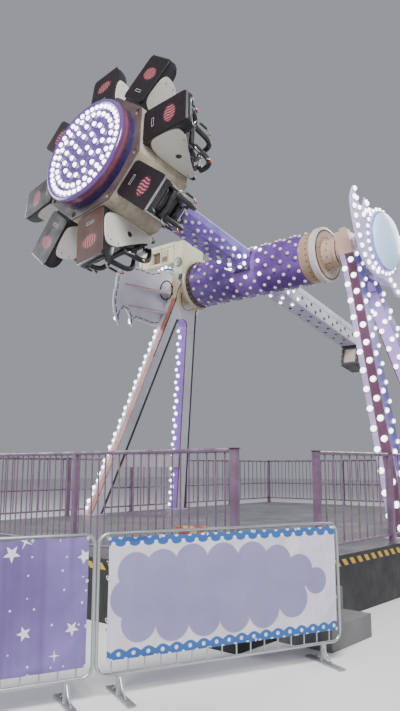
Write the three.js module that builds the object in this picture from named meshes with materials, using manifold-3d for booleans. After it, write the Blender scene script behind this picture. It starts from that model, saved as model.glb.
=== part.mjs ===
// A pendulum swing ride: two splayed towers carry a drum and a long arm that turns full circles,
// with a counterweight on one end and, on the other, a spinning ring of eight outward-facing seats.
// Millimetres. +X runs along the shaft, -Y is the front, +Z is up. The origin is on the ground
// below the middle of the arm.
import * as THREE from "three";
import { mergeVertices } from "three/addons/utils/BufferGeometryUtils.js";
import Module from "manifold-3d";

const wasm = await Module();
wasm.setup();

// Driving dimensions
const GAP = 0.3; // between pieces that touch
const RUNNING_GAP = 0.5; // between faces that turn on each other
const SHAFT_Z = 5000;
const DECK_TOP = 600;
const PLATFORM = { x0: -3250, x1: 3300, y0: -4900, y1: 4900 };
const SKIRT_THICK = 30;
const DECK_THICK = 60;
const RAIL_TOP = 1660;
const POST = 65;
const BAR_SPACING = 200;
const GATE_END_Y = -3550;
const STEPS = { y0: -4350, y1: -3650, rise: 200, tread: 280 };

const TOWER = {
  apex: { left: -1740, right: 1945 },
  slopeX: { left: 0.29, right: 0.26 },
  slopeY: 0.24,
  halfSpread: 105,
  legX: 250,
  legY: 250,
  headBottom: 4150,
  archZ: 4225,
  shoulder: 4700,
  headTop: 5230,
  headHalf: 300,
};
const TIE = { low: 1490, high: 1720 };

const SHAFT = { left: -1470, right: 1720 };
const BEARING_RADIUS = 300;
const DRUM = { radius: 430, left: -1340, right: 1380 };
const ARM_SIDE = 360;
const ARM_ELEVATION = THREE.MathUtils.degToRad(11.7); // above horizontal, towards the front
const HUB_START = 2360;
const COUNTERWEIGHT = { start: 3580, end: 4100, half: 200, low: -600, high: 180 };
const SEATS = 8;
const FIRST_SEAT_DEG = 9.3;
const CORE_APOTHEM = 900;
const DISC = { radius: 795, inner: 3900, outer: 4130 };
// Seats and restraints are placed by distance r from the arm's line and z along it.
const PIVOT = { r: 1085, z: 2900, pin: 20, lug: 36 };
const CORNER_HOLE = { r: 885, radius: 40, deep: 60 };
const FENCE = {
  x: 3600,
  y: -5480,
  along: Math.atan2(0.925, 0.381),
  high: 1060,
  low: 180,
  tube: 34,
  bar: 12,
};

// Finishes seen on the ride
const FINISH = {
  white: [0xd9d8e2, 0.5, 0.1],
  stripes: [0x6a55a8, 0.45, 0.1],
  purple: [0x5b3aa6, 0.4, 0.15],
  violet: [0x6a4fc0, 0.4, 0.15],
  steelPurple: [0x6b4a86, 0.5, 0.3],
  cream: [0xe3dcb4, 0.55, 0.1],
  beige: [0xcfa98a, 0.6, 0.1],
  iron: [0x3a3a3f, 0.6, 0.6],
  deck: [0x77777c, 0.8, 0.3],
  black: [0x101013, 0.7, 0.0],
  seat: [0x1b1c22, 0.6, 0.0],
  pad: [0x131316, 0.7, 0.0],
  galvanised: [0xa7adb0, 0.45, 0.8],
  sign: [0xbfd6f4, 0.3, 0.0],
  banner: [0xe9e6e0, 0.8, 0.0],
  starry: [0x8a7cc4, 0.8, 0.0],
};

function toSolid(geometry) {
  geometry.deleteAttribute("normal");
  geometry.deleteAttribute("uv");
  const merged = mergeVertices(geometry, 1e-3);
  return new wasm.Manifold(
    new wasm.Mesh({
      numProp: 3,
      vertProperties: merged.attributes.position.array,
      triVerts: new Uint32Array(merged.index.array),
    }),
  );
}

function toGeometry(solid) {
  const { vertProperties, triVerts } = solid.getMesh();
  const geometry = new THREE.BufferGeometry();
  geometry.setAttribute("position", new THREE.BufferAttribute(vertProperties, 3));
  geometry.setIndex(new THREE.BufferAttribute(triVerts, 1));
  const flat = geometry.toNonIndexed();
  flat.computeVertexNormals();
  return flat;
}

const join = (solids) => solids.reduce((whole, solid) => whole.add(solid));

// A box between two corners.
function block(x0, x1, y0, y1, z0, z1) {
  const geometry = new THREE.BoxGeometry(x1 - x0, y1 - y0, z1 - z0);
  geometry.translate((x0 + x1) / 2, (y0 + y1) / 2, (z0 + z1) / 2);
  return toSolid(geometry);
}

const OUTLINE_PLANES = {
  xy: [new THREE.Vector3(1, 0, 0), new THREE.Vector3(0, 1, 0), new THREE.Vector3(0, 0, 1)],
  yz: [new THREE.Vector3(0, 1, 0), new THREE.Vector3(0, 0, 1), new THREE.Vector3(1, 0, 0)],
  xz: [new THREE.Vector3(1, 0, 0), new THREE.Vector3(0, 0, 1), new THREE.Vector3(0, -1, 0)],
};

// An outline in one plane, extruded across it from one level to another.
function prism(shape, plane, from, to, curveSegments = 6) {
  const geometry = new THREE.ExtrudeGeometry(shape, {
    depth: to - from,
    bevelEnabled: false,
    curveSegments,
  });
  geometry.translate(0, 0, from);
  geometry.applyMatrix4(new THREE.Matrix4().makeBasis(...OUTLINE_PLANES[plane]));
  return toSolid(geometry);
}

const polygon = (points) => new THREE.Shape(points.map(([a, b]) => new THREE.Vector2(a, b)));

// A turned solid along an axis, from [distance along, radius] pairs that start and end on it.
function turned(profile, sides, axis) {
  const points = profile.map(([along, radius]) => new THREE.Vector2(radius, along));
  const geometry = new THREE.LatheGeometry(points, sides);
  if (axis === "x") geometry.rotateZ(-Math.PI / 2);
  if (axis === "z") geometry.rotateX(Math.PI / 2);
  return toSolid(geometry);
}

const cylinder = (axis, radius, from, to, sides = 24) =>
  turned([[from, 0], [from, radius], [to, radius], [to, 0]], sides, axis);

function piece(parent, name, solid, finish) {
  const [color, roughness, metalness] = FINISH[finish];
  const material = new THREE.MeshStandardMaterial({ color, roughness, metalness });
  const mesh = new THREE.Mesh(toGeometry(solid), material);
  mesh.name = name;
  parent.add(mesh);
  return mesh;
}

const ride = new THREE.Group();

// Platform
function basePieces() {
  const top = DECK_TOP - DECK_THICK - GAP;
  const beamHalf = 180;
  const drop = SHAFT_Z - DECK_TOP;
  const beams = {
    left: TOWER.apex.left - TOWER.slopeX.left * drop,
    right: TOWER.apex.right + TOWER.slopeX.right * drop,
  };
  for (const [side, x] of Object.entries(beams))
    piece(ride, `${side}_base_beam`, block(x - beamHalf, x + beamHalf, -4700, 4700, 0, top), "iron");
  const crossX = [beams.left + beamHalf + GAP, beams.right - beamHalf - GAP];
  piece(ride, "cross_beam", block(...crossX, -200, 200, 0, top), "iron");
  const inset = SKIRT_THICK + GAP;
  const { x0, x1, y0, y1 } = PLATFORM;
  const deck = block(x0 + inset, x1 - inset, y0 + inset, y1 - inset, DECK_TOP - DECK_THICK, DECK_TOP);
  piece(ride, "deck", deck, "deck");
  piece(ride, "front_skirt", block(x0, x1, y0, y0 + SKIRT_THICK, 0, DECK_TOP), "black");
  piece(ride, "back_skirt", block(x0, x1, y1 - SKIRT_THICK, y1, 0, DECK_TOP), "black");
  const sideY = [y0 + inset, y1 - inset];
  piece(ride, "left_skirt", block(x0, x0 + SKIRT_THICK, ...sideY, 0, DECK_TOP), "black");
  piece(ride, "right_skirt", block(x1 - SKIRT_THICK, x1, ...sideY, 0, DECK_TOP), "black");
}

// One straight railing along +X from its own origin, standing on the deck.
function railing(length, bays, firstPost, lastPost) {
  const low = DECK_TOP + GAP;
  const barTop = RAIL_TOP - 40;
  const from = firstPost ? 0 : GAP;
  const to = lastPost ? length : length - GAP;
  const parts = [
    block(from, to, -25, 25, RAIL_TOP - 50, RAIL_TOP),
    block(from, to, -20, 20, DECK_TOP + 80, DECK_TOP + 120),
  ];
  for (let bay = 0; bay <= bays; bay++) {
    if ((bay === 0 && !firstPost) || (bay === bays && !lastPost)) continue;
    const middle = POST / 2 + (bay * (length - POST)) / bays;
    parts.push(block(middle - POST / 2, middle + POST / 2, -POST / 2, POST / 2, low, RAIL_TOP));
  }
  const bars = Math.round(length / BAR_SPACING);
  for (let bar = 1; bar < bars; bar++) {
    const x = (bar * length) / bars;
    parts.push(block(x - 8, x + 8, -8, 8, DECK_TOP + 100, barTop));
  }
  return join(parts);
}

function railings() {
  const inset = 10 + POST / 2;
  const { x0, x1, y0, y1 } = PLATFORM;
  const width = x1 - x0 - 20;
  const rows = [
    ["front_railing", width, 3, true, true, x0 + 10, y0 + inset, 0],
    ["back_railing", width, 3, true, true, x0 + 10, y1 - inset, 0],
    ["left_railing", y1 - y0 - 20 - 2 * POST, 6, false, false, x0 + inset, y0 + 10 + POST, 90],
    ["right_railing", y1 - 10 - POST - GATE_END_Y, 5, true, false, x1 - inset, GATE_END_Y, 90],
  ];
  for (const [name, length, bays, first, last, x, y, turn] of rows) {
    const mesh = piece(ride, name, railing(length, bays, first, last), "steelPurple");
    mesh.position.set(x, y, 0);
    mesh.rotation.z = THREE.MathUtils.degToRad(turn);
  }
}

function entrySteps() {
  const { y0, y1, rise, tread } = STEPS;
  const x0 = PLATFORM.x1 + GAP;
  const low = block(x0, x0 + 2 * tread, y0, y1, 0, rise);
  const high = block(x0, x0 + tread, y0, y1, 0, 2 * rise);
  piece(ride, "entry_steps", join([low, high]), "deck");
}

// Towers
const sideName = (side) => (side < 0 ? "left" : "right");
const apexOf = (side) => TOWER.apex[sideName(side)];

// Leans a solid that is drawn upright about X = 0 outwards along the shaft, as the tower leans.
function lean(solid, side) {
  const slope = side * TOWER.slopeX[sideName(side)];
  const shear = new THREE.Matrix4().set(
    1, 0, -slope, apexOf(side) + slope * SHAFT_Z,
    0, 1, 0, 0,
    0, 0, 1, 0,
    0, 0, 0, 1,
  );
  return toSolid(toGeometry(solid).applyMatrix4(shear));
}

const legMiddle = (z) => TOWER.halfSpread + TOWER.slopeY * (SHAFT_Z - z);

function leg(end) {
  const [low, high] = [DECK_TOP + GAP, TOWER.headBottom - GAP];
  const half = TOWER.legY / 2;
  const outline = polygon([
    [end * legMiddle(low) - half, low],
    [end * legMiddle(low) + half, low],
    [end * legMiddle(high) + half, high],
    [end * legMiddle(high) - half, high],
  ]);
  return prism(outline, "yz", -TOWER.legX / 2, TOWER.legX / 2);
}

// The head closes the frame over a round-topped slot.
function head() {
  const half = TOWER.legY / 2;
  const [low, high] = [TOWER.headBottom, TOWER.headTop];
  const foot = legMiddle(low);
  const { archZ, shoulder, headHalf } = TOWER;
  const arch = legMiddle(archZ) - half;
  const shape = new THREE.Shape();
  shape.moveTo(-foot - half, low);
  shape.lineTo(-foot + half, low);
  shape.lineTo(-arch, archZ);
  shape.absarc(0, archZ, arch, Math.PI, 0, true);
  shape.lineTo(foot - half, low);
  shape.lineTo(foot + half, low);
  shape.lineTo(legMiddle(shoulder) + half, shoulder);
  shape.lineTo(headHalf, high);
  shape.lineTo(-headHalf, high);
  shape.lineTo(-legMiddle(shoulder) - half, shoulder);
  shape.closePath();
  return prism(shape, "yz", -TOWER.legX / 2, TOWER.legX / 2, 10);
}

function crossTie() {
  const half = TOWER.legY / 2;
  const edge = (z) => legMiddle(z) - half - GAP * 2;
  const outline = polygon([
    [-edge(TIE.low), TIE.low],
    [edge(TIE.low), TIE.low],
    [edge(TIE.high), TIE.high],
    [-edge(TIE.high), TIE.high],
  ]);
  return prism(outline, "yz", -90, 90);
}

// The spiked burst panel, drawn in Y and Z about the shaft as it stands on the right tower.
function burstOutline() {
  const shape = new THREE.Shape();
  shape.moveTo(-870, 660);
  shape.quadraticCurveTo(-1010, 480, -985, 330);
  shape.quadraticCurveTo(-930, 60, -760, -320);
  shape.lineTo(-660, -450);
  shape.quadraticCurveTo(-400, -640, 0, -600);
  shape.quadraticCurveTo(250, -620, 480, -800);
  shape.lineTo(1090, -740);
  shape.lineTo(1130, -910);
  shape.quadraticCurveTo(1210, -620, 1310, -580);
  shape.quadraticCurveTo(1420, -640, 1470, -935);
  shape.quadraticCurveTo(1600, -700, 1600, -500);
  shape.quadraticCurveTo(1600, -330, 1545, -210);
  shape.quadraticCurveTo(1560, 120, 1330, 215);
  shape.quadraticCurveTo(1000, 340, 660, 260);
  shape.quadraticCurveTo(420, 360, 250, 380);
  shape.lineTo(-250, 380);
  shape.quadraticCurveTo(-450, 420, -520, 580);
  shape.lineTo(-640, 280);
  shape.quadraticCurveTo(-760, 420, -870, 660);
  return shape;
}

const PANEL = { offset: { left: 330, right: 485 }, inner: 140, thick: 30 };

// A triangular gusset that stands off the panel's back, from the tower out to a distance along Y.
const gusset = (reach, z, back) =>
  prism(
    polygon([[back, 0], [PANEL.inner, 0], [PANEL.inner, reach * 0.25], [back, reach]]),
    "xy",
    z - 20,
    z + 20,
  );

function burstPanel(headSolid, back) {
  const parts = [
    prism(burstOutline(), "yz", back, back + PANEL.thick, 4),
    cylinder("x", 200, 60, back + 1, 16),
    gusset(1350, -120, back + 1),
    gusset(1250, -520, back + 1),
    gusset(-700, 60, back + 1),
  ];
  return join(parts).subtract(headSolid);
}

function signDome(back) {
  const radius = 480;
  const rim = back + PANEL.thick + GAP;
  const depth = 200;
  const profile = [[rim, 0], [rim, radius], [rim + 50, radius]];
  for (let step = 1; step <= 5; step++) {
    const t = (step / 6) * (Math.PI / 2);
    profile.push([rim + 50 + depth * Math.sin(t), radius * Math.cos(t)]);
  }
  profile.push([rim + 50 + depth, 0]);
  return turned(profile, 32, "x");
}

// The head's solid, widened a little all round, seen from the shaft's own height.
function headCutter(side) {
  const solid = lean(head(), side).translate([-apexOf(side), 0, -SHAFT_Z]);
  const steps = [-1, 1].flatMap((s) => [[s * GAP, 0, 0], [0, s * GAP, 0], [0, 0, s * GAP]]);
  return join(steps.map((step) => solid.translate(step)));
}

function tower(side) {
  const name = sideName(side);
  piece(ride, `${name}_front_leg`, lean(leg(-1), side), side < 0 ? "white" : "stripes");
  piece(ride, `${name}_back_leg`, lean(leg(1), side), side < 0 ? "white" : "stripes");
  piece(ride, `${name}_head`, lean(head(), side), side < 0 ? "white" : "stripes");
  piece(ride, `${name}_cross_tie`, lean(crossTie(), side), "white");

  const cutter = headCutter(side);
  // The panels are alike and look outwards, so the left one is turned half round.
  const outward = new THREE.Group();
  outward.position.set(apexOf(side), 0, SHAFT_Z);
  if (side < 0) outward.rotation.z = Math.PI;
  ride.add(outward);
  const localCutter = side < 0 ? cutter.rotate([0, 0, 180]) : cutter;
  piece(outward, `${name}_burst_panel`, burstPanel(localCutter, PANEL.offset[name]), "white");
  piece(outward, `${name}_round_sign`, signDome(PANEL.offset[name]), "sign");

  const shaftEnd = side < 0 ? SHAFT.left : SHAFT.right;
  const inner = side * (shaftEnd - apexOf(side)) + RUNNING_GAP;
  const bearing = cylinder("x", BEARING_RADIUS, inner, -60).subtract(localCutter);
  piece(outward, `${name}_bearing`, bearing, "beige");
}

// Drive: a gear case stands on the left bearing's head and carries the motor housing outwards.
function drive() {
  const caseX = [TOWER.apex.left - 40, TOWER.apex.left + 200];
  const { headHalf, headTop } = TOWER;
  const stand = block(...caseX, -headHalf, headHalf, headTop + GAP, 5900);
  const saddle = cylinder("x", BEARING_RADIUS + GAP, caseX[0] - 1, caseX[1] + 1);
  piece(ride, "gear_case", stand.subtract(saddle.translate([0, 0, SHAFT_Z])), "cream");
  const [inner, outer] = [caseX[0] - GAP, -2800];
  const outline = polygon([
    [inner, 5500],
    [inner, 5930],
    [outer + 260, 5930],
    [outer, 5780],
    [outer, 5550],
    [outer + 120, 5500],
  ]);
  const half = 280;
  const window = block(-2420, -2180, -half - 20, -half + 80, 5560, 5800);
  piece(ride, "motor_housing", prism(outline, "xz", -half, half).subtract(window), "cream");
}

// Swinging parts, drawn with the arm along -Y and the shaft through the group's origin.
const swing = new THREE.Group();
swing.position.z = SHAFT_Z;
swing.rotation.x = -ARM_ELEVATION;

function swingPieces() {
  const { radius, left, right } = DRUM;
  const drum = cylinder("x", radius, left + GAP, right - GAP, 32);
  piece(swing, "drum", drum, "purple");
  piece(swing, "drum_flange", cylinder("x", 485, left - 60, left, 32), "beige");
  piece(swing, "drum_ring", cylinder("x", 475, right, right + 120, 32), "white");
  piece(swing, "left_axle", cylinder("x", 230, SHAFT.left, left - 60 - GAP, 24), "beige");
  piece(swing, "right_axle", cylinder("x", 260, right + 120 + GAP, SHAFT.right, 24), "beige");

  const half = ARM_SIDE / 2;
  const cutter = cylinder("x", radius + GAP, left - 1, right + 1, 32);
  const arm = block(-half, half, -(HUB_START - 60), 0, -half, half);
  const endPlate = cylinder("z", 300, HUB_START - 60, HUB_START, 24).rotate([90, 0, 0]);
  piece(swing, "gondola_arm", join([arm, endPlate]).subtract(cutter), "violet");
  const tail = block(-half, half, 0, COUNTERWEIGHT.start - GAP, -half, half);
  piece(swing, "counterweight_arm", tail.subtract(cutter), "white");
  piece(swing, "counterweight", counterweight(), "cream");
}

// A block hung under the arm's end, with shallow pockets in its broad faces and its inner face.
function counterweight() {
  const { start, end, half, low, high } = COUNTERWEIGHT;
  const deep = 30;
  const pockets = [block(-half + 60, half - 60, start - 10, start + deep, low + 60, -230)];
  for (const side of [-1, 1])
    for (const [z0, z1] of [[low + 60, -230], [-170, high - 60]])
      pockets.push(
        block(...[side * (half - deep), side * (half + 10)].sort((a, b) => a - b), start + 60, end - 60, z0, z1),
      );
  return block(-half, half, start, end, low, high).subtract(join(pockets));
}

// The gondola, drawn with the arm's direction as +Z, so a hanging rider's feet point along +Z.
const gondola = new THREE.Group();
gondola.rotation.x = Math.PI / 2;
swing.add(gondola);

function octagonRing(apothem, z0, z1) {
  const corner = apothem / Math.cos(Math.PI / SEATS);
  const turn = THREE.MathUtils.degToRad(FIRST_SEAT_DEG + 180 / SEATS);
  const points = [];
  for (let side = 0; side < SEATS; side++) {
    const angle = turn + (side * 2 * Math.PI) / SEATS;
    points.push([corner * Math.cos(angle), corner * Math.sin(angle)]);
  }
  return prism(polygon(points), "xy", z0, z1);
}

// The core's faces carry the seats, and its end face has a round pocket at each corner.
function gondolaFrame() {
  const end = DISC.inner - GAP;
  const parts = [
    cylinder("z", 280, HUB_START + RUNNING_GAP, 2560, 24),
    turned([[2540, 0], [2540, 300], [2960, 860], [2960, 0]], SEATS * 2, "z"),
    octagonRing(CORE_APOTHEM, 2940, end),
  ];
  const { r, radius, deep } = CORNER_HOLE;
  const pocket = cylinder("z", radius, end - deep, end + 1, 14).translate([r, 0, 0]);
  const pockets = [];
  for (let seat = 0; seat < SEATS; seat++)
    pockets.push(pocket.rotate([0, 0, FIRST_SEAT_DEG + ((seat + 0.5) * 360) / SEATS]));
  return join(parts).subtract(join(pockets));
}

function lampDisc() {
  const { radius, inner, outer } = DISC;
  const round = 60;
  const profile = [
    [inner, 0],
    [inner, radius - round],
    [inner + round, radius],
    [outer - round, radius],
    [outer - round * 0.3, radius - round * 0.4],
    [outer, radius - round * 1.2],
    [outer, 0],
  ];
  return turned(profile, 40, "z");
}

// An eye that reaches from the seat's shell round the restraint's pin.
function lug(from, y) {
  const { r, z, pin, lug: radius } = PIVOT;
  const half = 20;
  const eye = cylinder("y", radius, y - half, y + half, 10).translate([r, 0, z]);
  const stem = block(from, r, y - half, y + half, z - radius + 8, z + radius - 8);
  const hole = cylinder("y", pin + 2 * RUNNING_GAP, y - half - 1, y + half + 1, 12);
  return join([eye, stem]).subtract(hole.translate([r, 0, z]));
}

// A seat in its own frame: +X points outwards from the arm, +Z towards the feet.
function seat() {
  const back = CORE_APOTHEM + GAP;
  const side = polygon([
    [back, 2880], [back + 70, 2840], [back + 110, 2900], [back + 130, 3560], [back + 190, 3640],
    [back + 560, 3600], [back + 710, 3630], [back + 760, 3700], [back + 760, 3820], [back, 3870],
  ]);
  const wingSide = polygon([
    [back, 2920], [back + 140, 2920], [back + 220, 3100], [back + 400, 3380], [back + 560, 3600],
    [back + 560, 3800], [back, 3850],
  ]);
  // The plate under the seat is a little wider than the shell, and its outer lip is at the knees.
  const plate = polygon([
    [back + 40, 3860], [back + 760, 3812], [back + 760, 3836], [back + 40, 3890],
  ]);
  const parts = [prism(side, "xz", -230, 230), prism(plate, "xz", -262, 262)];
  for (const end of [-1, 1]) {
    parts.push(prism(wingSide, "xz", end * 245 - 15, end * 245 + 15));
    parts.push(lug(back + 60, end * 80));
  }
  return join(parts);
}

// The over-shoulder restraint turns on a pin behind the head.
function restraint() {
  const hornOutline = polygon([
    [PIVOT.r - 40, PIVOT.z - 50], [PIVOT.r + 160, PIVOT.z - 60], [PIVOT.r + 300, PIVOT.z + 60],
    [PIVOT.r + 330, PIVOT.z + 480], [PIVOT.r + 230, PIVOT.z + 480], [PIVOT.r + 200, PIVOT.z + 110],
    [PIVOT.r + 110, PIVOT.z + 40], [PIVOT.r - 40, PIVOT.z + 20],
  ]);
  const horn = (end) => prism(hornOutline, "xz", end * 165 - 45, end * 165 + 45);
  const lap = block(PIVOT.r + 235, PIVOT.r + 325, -200, 200, PIVOT.z + 430, PIVOT.z + 530);
  const pin = cylinder("y", PIVOT.pin, -130, 130, 12).translate([PIVOT.r, 0, PIVOT.z]);
  return join([horn(-1), horn(1), lap, pin]);
}

function gondolaPieces() {
  piece(gondola, "gondola_frame", gondolaFrame(), "cream");
  piece(gondola, "lamp_disc", lampDisc(), "purple");
  const seatSolid = seat();
  const restraintSolid = restraint();
  for (let index = 0; index < SEATS; index++) {
    const place = new THREE.Group();
    place.rotation.z = THREE.MathUtils.degToRad(FIRST_SEAT_DEG + (index * 360) / SEATS);
    gondola.add(place);
    piece(place, `seat_${index + 1}`, seatSolid, "seat");
    piece(place, `restraint_${index + 1}`, restraintSolid, "pad");
  }
}

// Front fence: two crowd barriers in one line, with a banner on each
function barrier(length) {
  const half = FENCE.tube / 2;
  const { high, low, bar } = FENCE;
  const parts = [
    block(0, length, -half, half, high - half, high + half),
    block(0, length, -half, half, low - half, low + half),
    block(0, FENCE.tube, -half, half, low - half, high + half),
    block(length - FENCE.tube, length, -half, half, low - half, high + half),
  ];
  const bars = 17;
  for (let index = 1; index < bars; index++) {
    const x = (index * length) / bars;
    parts.push(block(x - bar / 2, x + bar / 2, -bar / 2, bar / 2, low, high));
  }
  for (const x of [180, length - 180])
    parts.push(
      block(x - 17, x + 17, -17, 17, 0, low),
      block(x - 30, x + 30, -220, 220, 0, 14),
    );
  return join(parts);
}

function fence() {
  const line = new THREE.Group();
  line.position.set(FENCE.x, FENCE.y, 0);
  line.rotation.z = FENCE.along;
  ride.add(line);
  const face = -(FENCE.bar / 2 + GAP);
  const length = 2030;
  const start = -930;
  const bays = [
    ["banner", start, 70, 1905, 235, 1030, "banner"],
    ["starry", start - length - 2 * GAP, 60, 1910, 215, 1040, "starry"],
  ];
  for (const [name, bay, from, width, low, high, finish] of bays) {
    const frame = piece(line, `${name}_barrier`, barrier(length), "galvanised");
    frame.position.x = bay;
    const cloth = block(bay + from, bay + from + width, face - 6, face, low, high);
    piece(line, `${name}_cloth`, cloth, finish);
  }
}

basePieces();
railings();
entrySteps();
tower(-1);
tower(1);
drive();
swingPieces();
gondolaPieces();
fence();
ride.add(swing);

export default ride;
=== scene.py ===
# The looks of a pendulum swing ride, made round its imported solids.
# Metres. +X runs along the shaft, -Y is the front, +Z is up, and the ground is at Z = 0.
import math

import bmesh
import bpy
import numpy as np
from mathutils import Matrix, Vector


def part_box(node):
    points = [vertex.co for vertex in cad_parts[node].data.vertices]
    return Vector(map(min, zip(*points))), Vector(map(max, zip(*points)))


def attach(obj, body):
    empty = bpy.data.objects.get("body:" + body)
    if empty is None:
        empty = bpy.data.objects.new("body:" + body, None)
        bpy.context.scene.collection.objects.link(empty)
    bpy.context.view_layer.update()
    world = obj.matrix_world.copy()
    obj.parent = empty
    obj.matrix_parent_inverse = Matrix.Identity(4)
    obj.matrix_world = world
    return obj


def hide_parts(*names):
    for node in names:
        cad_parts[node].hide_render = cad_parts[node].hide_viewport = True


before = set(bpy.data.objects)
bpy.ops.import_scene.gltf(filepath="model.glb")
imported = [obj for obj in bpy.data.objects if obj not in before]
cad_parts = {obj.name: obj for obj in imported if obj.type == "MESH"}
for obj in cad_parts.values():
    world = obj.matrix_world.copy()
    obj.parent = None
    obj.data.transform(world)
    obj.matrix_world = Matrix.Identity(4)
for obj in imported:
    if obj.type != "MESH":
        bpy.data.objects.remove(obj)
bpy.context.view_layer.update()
scene = bpy.context.scene

# Driving sizes, as in the solids
SHAFT_Z = 5.0
ELEVATION = math.radians(11.7)
DECK_TOP = 0.6
RAIL_TOP = 1.66
PLATFORM = {"x0": -3.25, "x1": 3.30, "y0": -4.90, "y1": 4.90}
GATE_END_Y = -3.55
APEX = {"left": -1.74, "right": 1.945}
SIDE = {"left": -1, "right": 1}
SLOPE_X = {"left": 0.29, "right": 0.26}
SLOPE_Y = 0.24
HALF_SPREAD = 0.105
LEG = 0.25
ARCH_Z = 4.225
SLOT_TOP = 4.39
TIE_HIGH = 1.72
DRUM_RADIUS, DRUM_LEFT, DRUM_RIGHT = 0.43, -1.34, 1.38
ARM = 0.36
WEIGHT = {"start": 3.58, "end": 4.10, "half": 0.20, "low": -0.60, "high": 0.18}
DISC_RADIUS, DISC_INNER, DISC_OUTER = 0.795, 3.90, 4.13
SEATS = 8
FIRST_SEAT = 9.3
PIVOT_R, PIVOT_Z = 1.085, 2.90
CORNER_HOLE_R = 0.885
PANEL_OFFSET, PANEL_THICK = {"left": 0.33, "right": 0.485}, 0.03
FENCE = {"x": 3.6, "y": -5.48, "along": math.atan2(0.925, 0.381), "high": 1.06, "low": 0.18}
BAY = 2.03

# Sizes of the scene alone
POST = 0.065
RAIL_INSET = 0.01 + POST / 2
BULB_STEP = {"left": 0.25, "right": 0.285}
HIGHEST_BULB = {"left": 4.13, "right": 4.84}
# The seat whose plate takes the lighter copy of the plate paint, as painted light
LIT_SEAT = 7
CUSHION_DEEP = 0.045
HORN_Y = 0.165
SCALLOP = 0.105
# Each cloth: its start along the bay, its width, and its lower and upper edge
CLOTHS = {"banner": (0.070, 1.905, 0.235, 1.030), "starry": (0.060, 1.910, 0.215, 1.040)}
BAY_START = {"banner": -0.930, "starry": -0.930 - BAY - 0.0006}
CLOTH_FACE = -0.0063
CLOTH_REACH = 0.035
TUBE = 0.0130
QUARTER = math.pi / 2
FULL = 2 * math.pi


def at(x=0.0, y=0.0, z=0.0, turn=0.0, axis="Z"):
    """A frame at a point, turned about one axis."""
    return Matrix.Translation((x, y, z)) @ Matrix.Rotation(turn, 4, axis)


def turns(count, start=0.0):
    """Even turns about Z, one for each of count places."""
    return [Matrix.Rotation(FULL * (k + start) / count, 4, "Z") for k in range(count)]


# Frames of the moving parts at rest. ALONG_X has its Z along the shaft
SWING = at(0, 0, SHAFT_Z, -ELEVATION, "X")
GONDOLA = SWING @ Matrix.Rotation(QUARTER, 4, "X")
ALONG_X = SWING @ Matrix.Rotation(QUARTER, 4, "Y")


def seat_frame(index):
    return GONDOLA @ Matrix.Rotation(math.radians(FIRST_SEAT + index * 360 / SEATS), 4, "Z")


def outward_frame(side):
    return at(APEX[side], 0, SHAFT_Z, math.pi if side == "left" else 0.0)


def fence_frame(start):
    return at(FENCE["x"], FENCE["y"], 0, FENCE["along"]) @ at(start)


def leg_middle(z):
    return HALF_SPREAD + SLOPE_Y * (SHAFT_Z - z)


def lean_x(side, z):
    return APEX[side] + SIDE[side] * SLOPE_X[side] * (SHAFT_Z - z)


# Materials
class Value:
    """A number or colour inside a material. Sums, products and these methods add nodes to it."""

    def __init__(self, shader, socket):
        self.shader, self.socket = shader, socket

    def math(self, operation, other=0.0):
        return self.shader.math(operation, self, other)

    def __add__(self, other):
        return self.math("ADD", other)

    def __sub__(self, other):
        return self.math("SUBTRACT", other)

    def __rsub__(self, other):
        return self.shader.math("SUBTRACT", other, self)

    def __mul__(self, other):
        return self.math("MULTIPLY", other)

    def __truediv__(self, other):
        return self.math("DIVIDE", other)

    def __abs__(self):
        return self.math("ABSOLUTE")

    def sine(self):
        return self.math("SINE")

    def fraction(self):
        return self.math("FRACT")

    def above(self, edge, softness=0.004):
        """0 below an edge and 1 above it."""
        ends = {"From Min": edge - softness, "From Max": edge + softness}
        return self.shader.out("ShaderNodeMapRange", Value=self, **ends)

    def below(self, edge, softness=0.004):
        return 1.0 - self.above(edge, softness)

    def between(self, low, high, softness=0.004):
        return self.above(low, softness) * self.below(high, softness)

    def ramp(self, *stops, constant=False):
        """A colour or grey ramp from (place, colour) stops."""
        made = self.shader.node("ShaderNodeValToRGB", Fac=self)
        ramp = made.color_ramp
        ramp.interpolation = "CONSTANT" if constant else "LINEAR"
        while len(ramp.elements) < len(stops):
            ramp.elements.new(1.0)
        for element, (place, colour) in zip(ramp.elements, stops):
            element.position = place
            element.color = (*(colour if isinstance(colour, tuple) else (colour,) * 3), 1)
        return Value(self.shader, made.outputs[0])

    def mix(self, a, b, blend="MIX"):
        """The colour a where this value is 0 and b where it is 1."""
        made = self.shader.node("ShaderNodeMix")
        made.data_type = "RGBA"
        made.blend_type = blend
        for key, value in ((0, self), (6, a), (7, b)):
            colour = (*value, 1) if isinstance(value, tuple) else value
            self.shader.feed(made.inputs[key], colour)
        return Value(self.shader, made.outputs[2])


def length(a, b):
    return (a * a + b * b).math("SQRT")


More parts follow.
